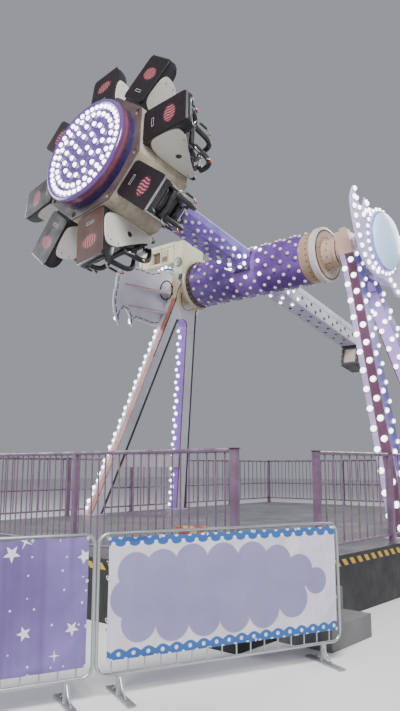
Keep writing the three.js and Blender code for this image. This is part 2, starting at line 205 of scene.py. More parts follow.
class Shader:
    """A node material with one Principled BSDF, built by short calls."""

    def __init__(self, name, colour, roughness, metallic=0.0, **settings):
        self.material = bpy.data.materials.new(name)
        self.material.use_nodes = True
        self.tree = self.material.node_tree
        self.bsdf = self.tree.nodes["Principled BSDF"]
        self.set(Base_Color=(*colour, 1), Roughness=roughness, Metallic=metallic, **settings)
        self.point = Value(self, self.node("ShaderNodeTexCoord").outputs["Object"])

    def set(self, **values):
        for key, value in values.items():
            self.feed(self.bsdf.inputs[key.replace("_", " ")], value)

    def node(self, kind, **inputs):
        made = self.tree.nodes.new(kind)
        for key, value in inputs.items():
            self.feed(made.inputs[key], value)
        return made

    def out(self, kind, **inputs):
        return Value(self, self.node(kind, **inputs).outputs[0])

    def feed(self, socket, value):
        if isinstance(value, Value):
            self.tree.links.new(value.socket, socket)
        else:
            socket.default_value = value

    def local(self, matrix):
        """The surface point seen from a frame given by its 4x4 matrix."""
        location, rotation, _ = matrix.decompose()
        made = self.node("ShaderNodeMapping", Vector=self.point)
        made.vector_type = "TEXTURE"
        made.inputs["Location"].default_value = location
        made.inputs["Rotation"].default_value = rotation.to_euler()
        return Value(self, made.outputs[0])

    def stretched(self, x, y, z):
        return self.out("ShaderNodeMapping", Vector=self.point, Scale=(x, y, z))

    def axes(self, point=None):
        made = self.node("ShaderNodeSeparateXYZ", Vector=point or self.point)
        return [Value(self, made.outputs[axis]) for axis in "XYZ"]

    def math(self, operation, *values):
        made = self.node("ShaderNodeMath")
        made.operation = operation
        for socket, value in zip(made.inputs, values):
            self.feed(socket, value)
        return Value(self, made.outputs[0])

    def noise(self, scale, detail=4.0, point=None):
        inputs = {"Scale": scale, "Detail": detail, "Roughness": 0.55, "Vector": point or self.point}
        return self.out("ShaderNodeTexNoise", **inputs)

    def bump(self, height, strength, distance=0.002):
        self.set(Normal=self.out("ShaderNodeBump", Height=height, Strength=strength, Distance=distance))

    def glow(self, colour, strength):
        """Gives off light of its own, without being sampled as a lamp."""
        self.set(Emission_Color=(*colour, 1), Emission_Strength=strength)
        self.material.cycles.emission_sampling = "NONE"
        return self.material

    def weather(self, colour, dirt=0.35, wear=0.5, bump=0.25):
        """Paint with a slow change of shade, dirt in streaks, fine chips and orange peel."""
        rough = self.bsdf.inputs["Roughness"].default_value
        low, high = max(rough - 0.12, 0.05), min(rough + 0.15, 0.95)
        colour = self.noise(1.3, 3.0).ramp((0.35, 0.0), (0.7, 0.22)).mix(colour, DIRT, "MULTIPLY")
        streak = self.noise(3.0, 6.0, self.stretched(6.0, 6.0, 0.7))
        colour = (streak.ramp((0.55, 0.0), (0.85, 1.0)) * dirt).mix(colour, DIRT)
        chips = self.noise(38.0, 5.0).ramp((0.70, 0.0), (0.735, 1.0)) * wear
        self.set(
            Base_Color=chips.mix(colour, CHIP),
            Roughness=self.noise(5.0, 5.0).ramp((0.3, low), (0.75, high)),
        )
        self.bump(self.noise(160.0, 2.0) - chips * 1.5, bump, 0.0012)
        return self.material


def painted(name, colour, roughness=0.4, metallic=0.0, **weathering):
    return Shader(name, colour, roughness, metallic).weather(colour, **weathering)


DIRT = (0.10, 0.085, 0.08)
CHIP = (0.22, 0.17, 0.15)
PALE = (0.74, 0.74, 0.80)
PURPLE = (0.20, 0.09, 0.46)
SALMON = (0.62, 0.24, 0.17)
BROWN = (0.16, 0.07, 0.07)
BRIGHT_PURPLE = (0.36, 0.20, 0.80)
LILAC = (0.50, 0.36, 0.85)
CREAM = (0.72, 0.69, 0.48)
BEIGE = (0.62, 0.45, 0.34)
BLACK = (0.012, 0.012, 0.014)


def tower_paint(side):
    """Stripes by face: the outer face, the front and back faces and the inner face differ."""
    shader = Shader(f"{side}_tower_paint", PALE, 0.38)
    x, y, z = shader.axes()
    drop, half = SHAFT_Z - z, LEG / 2
    across = abs(y) - (drop * SLOPE_Y + HALF_SPREAD)
    out = (x - (drop * (SIDE[side] * SLOPE_X[side]) + APEX[side])) * SIDE[side]
    share = out * (1 / LEG) + 0.5
    if side == "left":
        # The black strip at the inner edge of the left front face is painted shade in a gap.
        front = share.ramp((0.0, BLACK), (0.12, SALMON), (0.60, PALE), constant=True)
        front = z.above(4.76).mix(front, (0.66, 0.61, 0.42))
        reveal = share.ramp((0.0, BROWN), (0.14, BRIGHT_PURPLE), constant=True)
        inner = z.above(4.60, 0.10).mix(left_inner_face(y, z, across), (0.66, 0.58, 0.42))
        outer = PALE
    else:
        top = z.above(4.84, 0.010)
        front = share.ramp((0.0, (0.46, 0.38, 0.62)), (0.37, (0.125, 0.050, 0.095)), constant=True)
        front = top.mix(front, BEIGE)
        reveal = share.ramp((0.0, BROWN), (0.10, LILAC), constant=True)
        inner = top.mix(across.between(half - 0.05, 1.0).mix(PALE, BLACK), BEIGE)
        outer = top.mix(across.above(0.03).mix((0.12, 0.10, 0.38), (0.18, 0.14, 0.47)), BEIGE)
    edge = across.above(-half + 0.004, 0.001).mix(reveal, front)
    broad = out.above(0.0, 0.01).mix(inner, outer)
    return shader.weather(abs(out).above(half - 0.004, 0.001).mix(edge, broad), dirt=0.25)


def left_inner_face(y, z, across):
    """A black band of painted shade beside the slot on the front leg, and a black band along the rear
    edge of the back leg.
    """
    half = LEG / 2
    # Painted shade: black beside the slot, whose side lies in shadow.
    band = across.between(-half - 0.2, -half + 0.058) * z.below(SLOT_TOP - 0.03, 0.01)
    grey = across.between(-half + 0.018, -half + 0.026)
    front_leg = band.mix(PALE, grey.mix(BLACK, (0.20, 0.20, 0.21)))
    back_leg = across.between(half - 0.048, 1.0).mix(PALE, BLACK)
    return y.above(0.0, 0.01).mix(front_leg, back_leg)


def bulb_cap():
    shader = Shader("bulb_cap", (0.80, 0.72, 0.58), 0.18, Coat_Weight=0.5)
    shade = shader.noise(60.0, 3.0).ramp((0.3, (0.62, 0.50, 0.38)), (0.7, (0.93, 0.88, 0.78)))
    shader.set(Base_Color=shade)
    shader.bump(shader.noise(240.0, 2.0), 0.3, 0.001)
    return shader.material


def bulb_lit():
    shader = Shader("bulb_lit", (0.95, 0.93, 1.0), 0.25)
    shader.set(Base_Color=shader.noise(90.0).ramp((0.3, (0.85, 0.80, 0.95)), (0.7, (1.0, 1.0, 1.0))))
    shader.bump(shader.noise(240.0, 2.0), 0.3, 0.001)
    return shader.glow((0.95, 0.90, 1.0), 5.0)


def sign_paint():
    """A pale blue plastic dome, faintly lit from inside."""
    blue = (0.48, 0.64, 0.90)
    shader = Shader("sign_face", blue, 0.25)
    shader.weather(blue, dirt=0.08, wear=0.0)
    return shader.glow((0.55, 0.76, 1.0), 0.60)


def vinyl():
    """Black upholstery with fine grain, creases, a little dust and stitched seams."""
    shader = Shader("black_vinyl", (0.02, 0.02, 0.023), 0.42, Coat_Weight=0.15, Coat_Roughness=0.35)
    x, y, z = shader.axes()
    dust = shader.noise(9.0, 5.0)
    colour = dust.ramp((0.35, (0.013, 0.013, 0.016)), (0.75, (0.045, 0.043, 0.046)))
    seam = abs(y).between(0.0935, 0.0965, 0.001)
    thread = seam * ((x + z) * 90.0).fraction().above(0.35, 0.05)
    roughness = dust.ramp((0.3, 0.34), (0.8, 0.62))
    shader.set(Base_Color=thread.mix(colour, (0.10, 0.10, 0.11)), Roughness=roughness)
    crease = shader.noise(26.0, 4.0, shader.stretched(1.0, 0.35, 1.0))
    shader.bump(shader.noise(320.0, 3.0) + crease * 1.6 - seam * 3.0, 0.45, 0.0015)
    return shader.material


def plate_paint(name, base, glow):
    """The seat's underside: a dark plate with a painted glow of light in an oval, plain wavy bars in the
    oval and a drawn label frame.
    """
    shader = Shader(name, base, 0.5, Specular_IOR_Level=0.3)
    x, y, z = shader.axes()
    under = z.above(3.80, 0.002)
    oval = length((x - 1.38) * (1 / 0.115), y * (1 / 0.165))
    # Painted light: the glow colour fills the oval.
    colour = (oval.ramp((0.75, 0.75), (1.0, 0.0)) * under).mix(base, glow)
    wave = (x * 55.0).sine() * 0.006
    bars = ((y + wave) * (FULL / 0.046)).sine().above(0.05, 0.15)
    colour = (bars * (oval.below(0.80, 0.05) * under)).mix(colour, (0.36, 0.12, 0.12))
    off_x, off_y = abs(x - 1.10), abs(y)
    outer, inner = (
        off_x.below(0.019 - line, 0.001) * off_y.below(0.072 - line, 0.001) for line in (0.0, 0.005)
    )
    colour = ((outer - inner) * under).mix(colour, (0.50, 0.48, 0.50))
    return shader.weather(colour, dirt=0.2, wear=0.4)


def disc_paint():
    """Purple face, plum rim with a painted copper reflection, and a painted blue-lit band at its back.
    """
    shader = Shader("disc_paint", PURPLE, 0.25, 0.15, Coat_Weight=0.4, Coat_Roughness=0.1)
    x, y, z = shader.axes()
    depth = (z - DISC_INNER) * (1 / (DISC_OUTER - DISC_INNER))
    # Painted reflection: copper and plum bands across the rim.
    rim_reflection = (depth + (shader.noise(2.2, 2.0) * 0.3 - 0.15)).ramp(
        (0.10, (0.03, 0.02, 0.10)), (0.40, (0.08, 0.028, 0.10)), (0.60, (0.27, 0.085, 0.10)),
        (0.76, (0.13, 0.045, 0.15)), (0.95, (0.15, 0.07, 0.30)),
    )
    face = shader.noise(5.0, 3.0).ramp((0.3, (0.085, 0.045, 0.21)), (0.7, (0.15, 0.09, 0.33)))
    colour = length(x, y).above(DISC_RADIUS - 0.06, 0.02).mix(face, rim_reflection)
    # Painted light: a blue-lit band at the back of the rim.
    colour = (z.below(DISC_INNER + 0.03, 0.02) * 0.5).mix(colour, (0.02, 0.03, 0.60))
    return shader.weather(colour, dirt=0.1, wear=0.15, bump=0.15)


def frame_paint():
    """The gondola's steel frame: cream, and dark towards the arm and next to the disc."""
    shader = Shader("gondola_frame", CREAM, 0.5)
    z = shader.axes(shader.local(GONDOLA))[2]
    patch = shader.noise(4.0, 4.0)
    cream = patch.ramp((0.3, (0.30, 0.25, 0.19)), (0.65, (0.52, 0.46, 0.35)))
    dark = patch.ramp((0.3, (0.045, 0.032, 0.04)), (0.7, (0.12, 0.085, 0.08)))
    return shader.weather((z.above(2.7, 0.3) * z.below(3.885)).mix(dark, cream), dirt=0.5)


def violet_arm():
    """Violet, lighter on its upper part as painted light, with a painted glare line, and a dark collar
    of painted shade where it enters the drum.
    """
    shader = Shader("arm_violet", (0.24, 0.16, 0.58), 0.27, Coat_Weight=0.3, Coat_Roughness=0.15)
    _, y, z = shader.axes(shader.local(SWING))
    # Painted light: the upper part lighter than the lower.
    colour = z.above(0.04, 0.006).mix((0.13, 0.06, 0.38), (0.21, 0.17, 0.60))
    # Painted highlight: a pale glare line near the top.
    colour = (z.between(0.160, 0.176, 0.003) * 0.8).mix(colour, (0.75, 0.74, 0.98))
    # Painted shade: dark where the arm enters the drum.
    colour = y.above(-0.455).mix(colour, (0.085, 0.045, 0.045))
    colour = (y.below(-2.15, 0.12) * 0.6).mix(colour, (0.12, 0.07, 0.25))
    return shader.weather(colour, dirt=0.12, wear=0.3)


def white_arm():
    """Lavender-pink by the drum, then white, with a thin dark seam along its upper third."""
    shader = Shader("arm_white", PALE, 0.34)
    _, y, z = shader.axes(shader.local(SWING))
    colour = (y * (1 / 3.3)).ramp((0.14, (0.50, 0.33, 0.68)), (0.34, (0.72, 0.75, 0.84)))
    colour = z.between(0.055, 0.065, 0.0015).mix(colour, (0.05, 0.04, 0.08))
    colour = (z.between(-0.2, -0.150) * 0.5).mix(colour, (0.34, 0.30, 0.50))
    return shader.weather(colour, dirt=0.25)


def counterweight_paint():
    """A dark frame; cream panels in the inner face and the lower pockets, grey in the upper ones."""
    shader = Shader("counterweight", CREAM, 0.5)
    x, y, z = shader.axes(shader.local(SWING))
    inner = y.below(WEIGHT["start"] + 0.034, 0.002) * abs(x).between(-1.0, 0.139, 0.002)
    side = y.between(WEIGHT["start"] + 0.062, WEIGHT["end"] - 0.062, 0.003)
    low = z.between(WEIGHT["low"] + 0.062, -0.232, 0.003)
    high = z.between(-0.168, WEIGHT["high"] - 0.062, 0.003)
    patch = shader.noise(3.0, 4.0)
    dark = patch.ramp((0.3, (0.05, 0.048, 0.05)), (0.7, (0.11, 0.10, 0.10)))
    grey = patch.ramp((0.3, (0.18, 0.19, 0.20)), (0.7, (0.33, 0.34, 0.35)))
    cream = patch.ramp((0.3, (0.62, 0.52, 0.44)), (0.7, (0.82, 0.74, 0.64)))
    colour = (side * high).mix(dark, grey)
    return shader.weather((inner.math("MAXIMUM", side) * low).mix(colour, cream), dirt=0.35)


def drum_paint():
    """Purple with a patch of painted light beside the arm, and thin weld lines round it."""
    shader = Shader("drum_purple", PURPLE, 0.30, 0.1, Coat_Weight=0.3, Coat_Roughness=0.15)
    z = shader.axes()[2]
    base = shader.noise(3.5, 3.0).ramp((0.3, (0.10, 0.045, 0.23)), (0.7, (0.165, 0.080, 0.36)))
    # Painted light: a brighter patch beside the arm, where its lit bulbs shine on the drum.
    colour = (abs(z).below(ARM / 2 + 0.07, 0.05) * 0.5).mix(base, (0.36, 0.20, 0.72))
    weld = (z * (1 / 0.545)).fraction().between(0.490, 0.506, 0.002)
    return shader.weather(weld.mix(colour, (0.07, 0.03, 0.16)), dirt=0.15, wear=0.4)


def stripes(shader, width, softness, first, second):
    """Diagonal stripes in the object's own x, y and z."""
    x, y, z = shader.axes()
    return ((x + y + z) * (1 / width)).fraction().above(0.5, softness).mix(first, second)


def kerb_paint():
    red, yellow = (0.55, 0.05, 0.03), (0.70, 0.48, 0.04)
    shader = Shader("hazard_kerb", red, 0.5)
    return shader.weather(stripes(shader, 0.30, 0.01, red, yellow), dirt=0.4)


def skirt_paint():
    """Black sheet with a striped warning band near its top."""
    shader = Shader("skirt_panel", (0.02, 0.02, 0.022), 0.6)
    warning = stripes(shader, 0.16, 0.02, (0.015, 0.015, 0.015), (0.62, 0.40, 0.03))
    band = shader.axes()[2].between(0.498, 0.562, 0.002)
    return shader.weather(band.mix((0.022, 0.022, 0.025), warning), dirt=0.5)


def deck_paint():
    """Steel deck with a raised lozenge tread, lighter on its worn edge."""
    shader = Shader("deck_plate", (0.17, 0.17, 0.18), 0.55, 0.5)
    x, y, z = shader.axes()
    tread = (abs(((x + y) * 62.0).sine()) * abs(((x - y) * 62.0).sine())).above(0.72, 0.08)
    patch = shader.noise(2.2, 6.0)
    colour = patch.ramp((0.3, (0.12, 0.12, 0.13)), (0.7, (0.24, 0.24, 0.25)))
    colour = z.below(DECK_TOP - 0.006, 0.001).mix(
        tread.mix(colour, (0.30, 0.30, 0.31)), (0.42, 0.42, 0.42),
    )
    shader.set(Base_Color=colour, Roughness=patch.ramp((0.3, 0.4), (0.75, 0.7)))
    shader.bump(tread, 0.5)
    return shader.material


def rail_paint():
    """Brownish purple gloss, worn to bare steel at the top."""
    shader = Shader("railing_paint", (0.16, 0.085, 0.20), 0.34, 0.15)
    patch = shader.noise(7.0, 5.0)
    colour = patch.ramp((0.3, (0.14, 0.085, 0.135)), (0.7, (0.23, 0.15, 0.24)))
    top = shader.axes()[2].above(RAIL_TOP - 0.012, 0.006) * patch.above(0.50, 0.05)
    return shader.weather(top.mix(colour, (0.36, 0.30, 0.36)), dirt=0.25, wear=0.8)


def cloth_weave(name):
    """A woven banner cloth with the bump of its threads, and its x and z."""
    shader = Shader(name, (0.8, 0.8, 0.82), 0.8, Sheen_Weight=0.15)
    x, _, z = shader.axes()
    threads = (x * 1900.0).sine() * (z * 1900.0).sine()
    shader.bump(threads + shader.noise(40.0, 4.0), 0.25, 0.0008)
    return shader, x, z


# A plain cloud of round puffs: (x, z, radius)
CLOUD = [
    (0.27, 0.79, 0.130), (0.47, 0.80, 0.130), (0.70, 0.82, 0.135), (0.95, 0.81, 0.140),
    (1.20, 0.81, 0.135), (1.42, 0.78, 0.130), (1.62, 0.70, 0.130), (1.78, 0.62, 0.100),
    (0.22, 0.62, 0.130), (0.30, 0.46, 0.130), (0.55, 0.44, 0.130), (0.80, 0.45, 0.135),
    (1.05, 0.44, 0.130), (1.30, 0.45, 0.135), (1.56, 0.50, 0.135), (0.38, 0.62, 0.160),
    (0.52, 0.60, 0.190), (0.80, 0.62, 0.200), (1.08, 0.62, 0.200), (1.36, 0.61, 0.190),
]


def banner_print():
    """Pale cloth with painted shade in its creases: a plain cloud, and a blue scalloped border with
    white dots along two edges.
    """
    shader, x, z = cloth_weave("banner_fabric")
    patch = shader.noise(3.0, 4.0)
    colour = patch.ramp((0.3, (0.56, 0.53, 0.62)), (0.7, (0.70, 0.67, 0.74)))
    # Painted shade: the cloth darker along its creases.
    crease = shader.noise(1.0, 2.0, shader.stretched(9.0, 1.0, 0.5))
    colour = crease.ramp((0.45, 0.0), (0.62, 0.30)).mix(colour, (0.42, 0.39, 0.52))
    streak = shader.noise(2.5, 3.0, shader.stretched(3.0, 1.0, 0.35))
    colour = streak.ramp((0.62, 0.0), (0.80, 0.30)).mix(colour, (0.66, 0.50, 0.47))
    mask = 0.0
    for cx, cz, radius in CLOUD:
        mask = length(x - cx, z - cz).below(radius).math("MAXIMUM", mask)
    fill = patch.ramp((0.3, (0.215, 0.205, 0.375)), (0.7, (0.265, 0.250, 0.435)))
    colour = mask.mix(colour, fill)
    _, _, low, high = CLOTHS["banner"]
    # Each edge: its level, its inward way, and its two rows of dots as (shift, depth, radius)
    for level, inward, dots in (
        (high, -1, ((0.0, 0.050, 0.0145), (0.5, 0.004, 0.0165))),
        (low, 1, ((0.5, 0.034, 0.0140), (0.0, -0.002, 0.0130))),
    ):
        depth = (z - level) * inward
        border = abs((x * (math.pi / SCALLOP)).sine()) * 0.024 + 0.046
        colour = (depth - border).below(0.0, 0.002).mix(colour, (0.022, 0.105, 0.34))
        for shift, centre, size in dots:
            along = ((x * (1 / SCALLOP) + (shift + 0.5)).fraction() - 0.5) * SCALLOP
            dot = length(along, depth - centre).below(size, 0.0015)
            colour = dot.mix(colour, (0.66, 0.68, 0.74))
    shader.set(Base_Color=colour)
    return shader.material


# Kinds of stars: cells per metre, points, radius, how deep they are cut, shift, share left out
STARS = [
    (2.4, 5, 0.056, 1.5, 0.3, 0.25), (3.3, 4, 0.048, 5.5, 3.7, 0.35), (9.0, 3, 0.0060, 0.0, 8.1, 0.45),
]


def star_print():
    """Dark purple cloth with upright creases in painted shade, white stars of two kinds and small dots.
    """
    shader, x, z = cloth_weave("starry_fabric")
    colour = shader.noise(1.8, 4.0).ramp((0.3, (0.12, 0.085, 0.25)), (0.7, (0.205, 0.155, 0.405)))
    # Painted shade: the cloth darker along its upright creases.
    crease = shader.noise(1.0, 2.0, shader.stretched(8.0, 1.0, 0.4)).ramp((0.48, 0.0), (0.64, 0.5))
    colour = crease.mix(colour, (0.10, 0.065, 0.21))
    for scale, points, size, cut, shift, left_out in STARS:
        spot = shader.out("ShaderNodeCombineXYZ", X=x + shift, Y=z)
        cells = shader.node("ShaderNodeTexVoronoi", Scale=scale, Randomness=0.6)
        cells.voronoi_dimensions = "2D"
        shader.feed(cells.inputs["Vector"], spot)
        away = shader.node("ShaderNodeVectorMath")
        away.operation = "SUBTRACT"
        shader.feed(away.inputs[0], spot)
        shader.feed(away.inputs[1], Value(shader, cells.outputs["Position"]))
        dx, dy, _ = shader.axes(Value(shader, away.outputs[0]))
        tilt, growth, chance = shader.axes(Value(shader, cells.outputs["Color"]))
        angle = dy.math("ARCTAN2", dx) + tilt * 0.8
        wave = (angle * (points / FULL)).math("PINGPONG", 0.5)
        radius = (growth * 0.5 + 0.75) * size / (wave * (2.0 * cut) + 1.0)
        star = (length(dx, dy) - radius).below(0.0, 0.0015) * chance.above(left_out, 0.001)
        colour = star.mix(colour, (0.74, 0.73, 0.84))
    shader.set(Base_Color=colour)
    return shader.material


MAT = {
    "white": painted("tower_white", PALE),
    "tie_white": painted("tie_white", (0.86, 0.86, 0.90), 0.35, dirt=0.15),
    "left_tower": tower_paint("left"),
    "right_tower": tower_paint("right"),
    "purple": painted("bulb_collar", PURPLE, 0.33, dirt=0.2),
    "drum": drum_paint(),
    "violet": violet_arm(),
    "arm_white": white_arm(),
    "weight": counterweight_paint(),
    "cream": painted("housing_cream", CREAM, 0.45, dirt=0.45),
    "recess": painted("recess_brown", (0.20, 0.13, 0.09), 0.6, dirt=0.5),
    "salmon_box": painted("box_salmon", (0.60, 0.44, 0.30), 0.5),
    "gear": painted("gear_grey", (0.30, 0.34, 0.28), 0.4, 0.4),
    "beige": painted("bare_beige", BEIGE, 0.5, dirt=0.5),
    "bare_end": painted("bare_end", (0.42, 0.29, 0.20), 0.5, dirt=0.5),
    "flange": painted("flange_cream", (0.60, 0.58, 0.44), 0.45, 0.2, dirt=0.5),
    "hoop": painted("hoop_white", (0.66, 0.60, 0.58), 0.35, dirt=0.35),
    "rail": rail_paint(),
    "deck": deck_paint(),
    "tread": painted("step_plate", (0.20, 0.20, 0.21), 0.6, 0.4),
    "skirt": skirt_paint(),
    "base": painted("base_steel", (0.03, 0.03, 0.032), 0.6, 0.3),
    "steel": painted("bare_steel", (0.45, 0.45, 0.46), 0.3, 0.9),
    "chrome": painted("handle_chrome", (0.72, 0.72, 0.74), 0.12, 1.0, dirt=0.1, wear=0.2),
    "black": painted("black_trim", BLACK, 0.5),
    "brown": painted("brown_bolt", (0.12, 0.06, 0.04), 0.5, 0.3),
    "ring_dark": painted("ring_dark", (0.045, 0.028, 0.03), 0.4),
    "rust": painted("bolt_rust", (0.30, 0.12, 0.07), 0.5, 0.2),
    "salmon": painted("salmon_edge", SALMON, 0.45),
    "panel": painted("panel_lilac", (0.62, 0.57, 0.84), 0.4),
    "left_panel": painted("panel_white", (0.84, 0.83, 0.92), 0.4, dirt=0.2),
    "sign": sign_paint(),
    "sign_ring": painted("sign_ring", (0.26, 0.26, 0.62), 0.3, dirt=0.1),
    "seat": painted("seat_shell", (0.02, 0.02, 0.025), 0.3, wear=0.3),
    "wing": painted("wing_cream", (0.58, 0.57, 0.52), 0.38, dirt=0.3, wear=0.3),
    "plate": plate_paint("seat_plate", (0.010, 0.006, 0.008), (0.085, 0.014, 0.042)),
    # A lighter copy of the seat plate with a stronger glow, as painted light on one seat
    "plate_lit": plate_paint("seat_plate_lit", (0.060, 0.024, 0.018), (0.16, 0.045, 0.045)),
    "grip": painted("rubber_grip", (0.03, 0.03, 0.033), 0.7, wear=0.2),
    "grip_red": painted("red_cap", (0.45, 0.09, 0.06), 0.4, wear=0.2),
    "vinyl": vinyl(),
    "disc": disc_paint(),
    "frame": frame_paint(),
    "galvanised": painted("galvanised", (0.50, 0.53, 0.54), 0.38, 0.85),
    "kerb": kerb_paint(),
    "banner": banner_print(),
    "starry": star_print(),
    "tie": painted("white_tie", (0.75, 0.75, 0.75), 0.6, dirt=0.1, wear=0.0),
    "cap": bulb_cap(),
    "lit": bulb_lit(),
}


# Mesh helpers
def mesh_of(name, verts, faces):
    mesh = bpy.data.meshes.new(name)
    mesh.from_pydata([tuple(map(float, v)) for v in verts], [], [tuple(map(int, f)) for f in faces])
    return mesh


def linked(name, data):
    made = bpy.data.objects.new(name, data)
    scene.collection.objects.link(made)
    return made


def put(name, verts, faces, body, slot, *materials, matrix=None, marks=None, node=None):
    """One mesh piece that rides on a body and may stand for a CAD node. Its slot is not used.

    marks gives each face's place in materials.
    """
    mesh = mesh_of(name, verts, faces)
    for material in materials:
        mesh.materials.append(MAT[material])
    if marks is not None:
        mesh.polygons.foreach_set("material_index", np.asarray(marks, np.int32))
    mesh.polygons.foreach_set("use_smooth", np.full(len(mesh.polygons), True))
    made = linked(name, mesh)
    if matrix is not None:
        made.matrix_world = matrix
    sharpen(mesh)
    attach(made, body)
    if node:
        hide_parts(node)
    return made


def sharpen(mesh, angle=math.radians(38)):
    """Marks the edges between faces that meet at a wide angle as sharp."""
    work = bmesh.new()
    work.from_mesh(mesh)
    bmesh.ops.recalc_face_normals(work, faces=work.faces)
    for edge in work.edges:
        if len(edge.link_faces) == 2 and edge.calc_face_angle(0) > angle:
            edge.smooth = False
    work.to_mesh(mesh)
    work.free()


class Shape:
    """Collects points, faces and material marks of one piece."""

    def __init__(self):
        self.verts, self.faces, self.marks = [], [], []

    def add(self, verts, faces, mark=0, matrix=None):
        base = len(self.verts)
        place = matrix or Matrix()
        self.verts += [tuple(place @ Vector(v)) for v in verts]
        self.faces += [tuple(i + base for i in face) for face in faces]
        self.marks += [mark] * len(faces)

    def box(self, x0, x1, y0, y1, z0, z1, mark=0, bevel=0.0, matrix=None):
        self.add(*box_mesh(x0, x1, y0, y1, z0, z1, bevel), mark, matrix)

    def block(self, x, y, half_x, half_y, z0, z1, mark=0, bevel=0.0):
        """A box by the middle and the half sizes of its plan."""
        self.box(x - half_x, x + half_x, y - half_y, y + half_y, z0, z1, mark, bevel)

    def turn(self, profile, sides, mark=0, matrix=None):
        self.add(*lathe_mesh(profile, sides), mark, matrix)

    def bolt(self, matrix, mark, radius, high, crown, sides=6):
        """A bolt head: its radius, its height at the rim and its height in the middle."""
        self.turn([(0, 0), (radius, 0), (radius, high), (0, crown)], sides, mark, matrix)

    def tube(self, points, radius, sides=10, mark=0, closed=False):
        self.add(*tube_mesh(points, radius, sides, closed), mark)

    def put(self, name, body, slot, *materials, **settings):
        return put(name, self.verts, self.faces, body, slot, *materials, marks=self.marks, **settings)


def box_mesh(x0, x1, y0, y1, z0, z1, bevel=0.0):
    """A box with its corners and edges cut back by a small bevel."""
    work = bmesh.new()
    bmesh.ops.create_cube(work, size=1.0)
    size = Vector((x1 - x0, y1 - y0, z1 - z0))
    middle = Vector((x0 + x1, y0 + y1, z0 + z1)) / 2
    for vert in work.verts:
        vert.co = Vector(a * b for a, b in zip(vert.co, size)) + middle
    if bevel:
        edges = list(work.edges)
        bmesh.ops.bevel(work, geom=edges, offset=bevel, segments=2, profile=0.6, affect="EDGES")
    work.verts.ensure_lookup_table()
    verts = [tuple(v.co) for v in work.verts]
    faces = [[v.index for v in f.verts] for f in work.faces]
    work.free()
    return verts, faces


def lathe_mesh(profile, sides):
    """A solid turned about Z from (radius, z) pairs. A radius of 0 closes it on the axis."""
    verts, rows = [], []
    for radius, z in profile:
        if radius <= 1e-9:
            rows.append([len(verts)])
            verts.append((0, 0, z))
            continue
        rows.append(list(range(len(verts), len(verts) + sides)))
        for k in range(sides):
            angle = FULL * k / sides
            verts.append((radius * math.cos(angle), radius * math.sin(angle), z))
    faces = []
    for low, high in zip(rows, rows[1:]):
        for k in range(sides):
            n = (k + 1) % sides
            ring = [low[k % len(low)], low[n % len(low)], high[n % len(high)], high[k % len(high)]]
            face = list(dict.fromkeys(ring))
            if len(face) > 2:
                faces.append(face)
    return verts, faces


def tube_mesh(points, radius, sides=10, closed=False):
    """A round tube along a path, with flat ends or joined into a loop."""
    path = [Vector(p) for p in points]
    count = len(path)
    verts, faces = [], []
    up = None
    for i, point in enumerate(path):
        before = path[(i - 1) % count] if closed or i else path[0]
        after = path[(i + 1) % count] if closed or i < count - 1 else path[-1]
        along = (after - before).normalized()
        if up is None:
            up = along.orthogonal().normalized()
        up = (up - along * up.dot(along)).normalized()
        side = along.cross(up)
        wide = radius[i] if isinstance(radius, list) else radius
        for k in range(sides):
            angle = FULL * k / sides
            verts.append(point + wide * (math.cos(angle) * up + math.sin(angle) * side))
    for i in range(count if closed else count - 1):
        a, b = i * sides, ((i + 1) % count) * sides
        for k in range(sides):
            n = (k + 1) % sides
            faces.append((a + k, a + n, b + n, b + k))
    if not closed:
        faces.append(tuple(reversed(range(sides))))
        faces.append(tuple(range((count - 1) * sides, count * sides)))
    return verts, faces


def arc(centre, radius, start, end, steps, plane="xz"):
    """Points on an arc in a plane, angles in degrees."""
    points = []
    for k in range(steps + 1):
        angle = math.radians(start + (end - start) * k / steps)
        a, b = radius * math.cos(angle), radius * math.sin(angle)
        offset = {"xy": (a, b, 0), "xz": (a, 0, b), "yz": (0, a, b)}[plane]
        points.append(Vector(centre) + Vector(offset))
    return points


def followed(points):
    """Each point of a closed outline with the next one."""
    return zip(points, [*points[1:], points[0]])


def inset_outline(points, amount):
    """A closed outline moved to its left side."""
    made, count = [], len(points)
    for i in range(count):
        before, here, after = (Vector(points[(i + d) % count]) for d in (-1, 0, 1))
        along = (after - before).normalized()
        made.append(here + Vector((-along.y, along.x)) * amount)
    return made


def plate_mesh(outline, low, high, bevel, plane="xz"):
    """An outline in a plane drawn out across it from low to high, with rounded edges."""
    count = len(outline)
    turn = sum(a[0] * b[1] - b[0] * a[1] for a, b in followed(outline))
    inner = inset_outline(outline, bevel if turn > 0 else -bevel)
    verts, faces = [], []
    for loop, level in ((inner, low), (outline, low + bevel), (outline, high - bevel), (inner, high)):
        verts += [(a, level, b) if plane == "xz" else (a, b, level) for a, b in loop]
    for row in (0, count, 2 * count):
        for k in range(count):
            n = (k + 1) % count
            faces.append((row + k, row + n, row + count + n, row + count + k))
    faces.append(tuple(range(count)))
    faces.append(tuple(reversed(range(3 * count, 4 * count))))
    return verts, faces


def rounded(outline, passes, share):
    """An outline with its corners cut back again and again."""
    points = [Vector(p) for p in outline]
    for _ in range(passes):
        cut = []
        for a, b in followed(points):
            cut += [a.lerp(b, share), a.lerp(b, 1 - share)]
        points = cut
    return [tuple(p) for p in points]


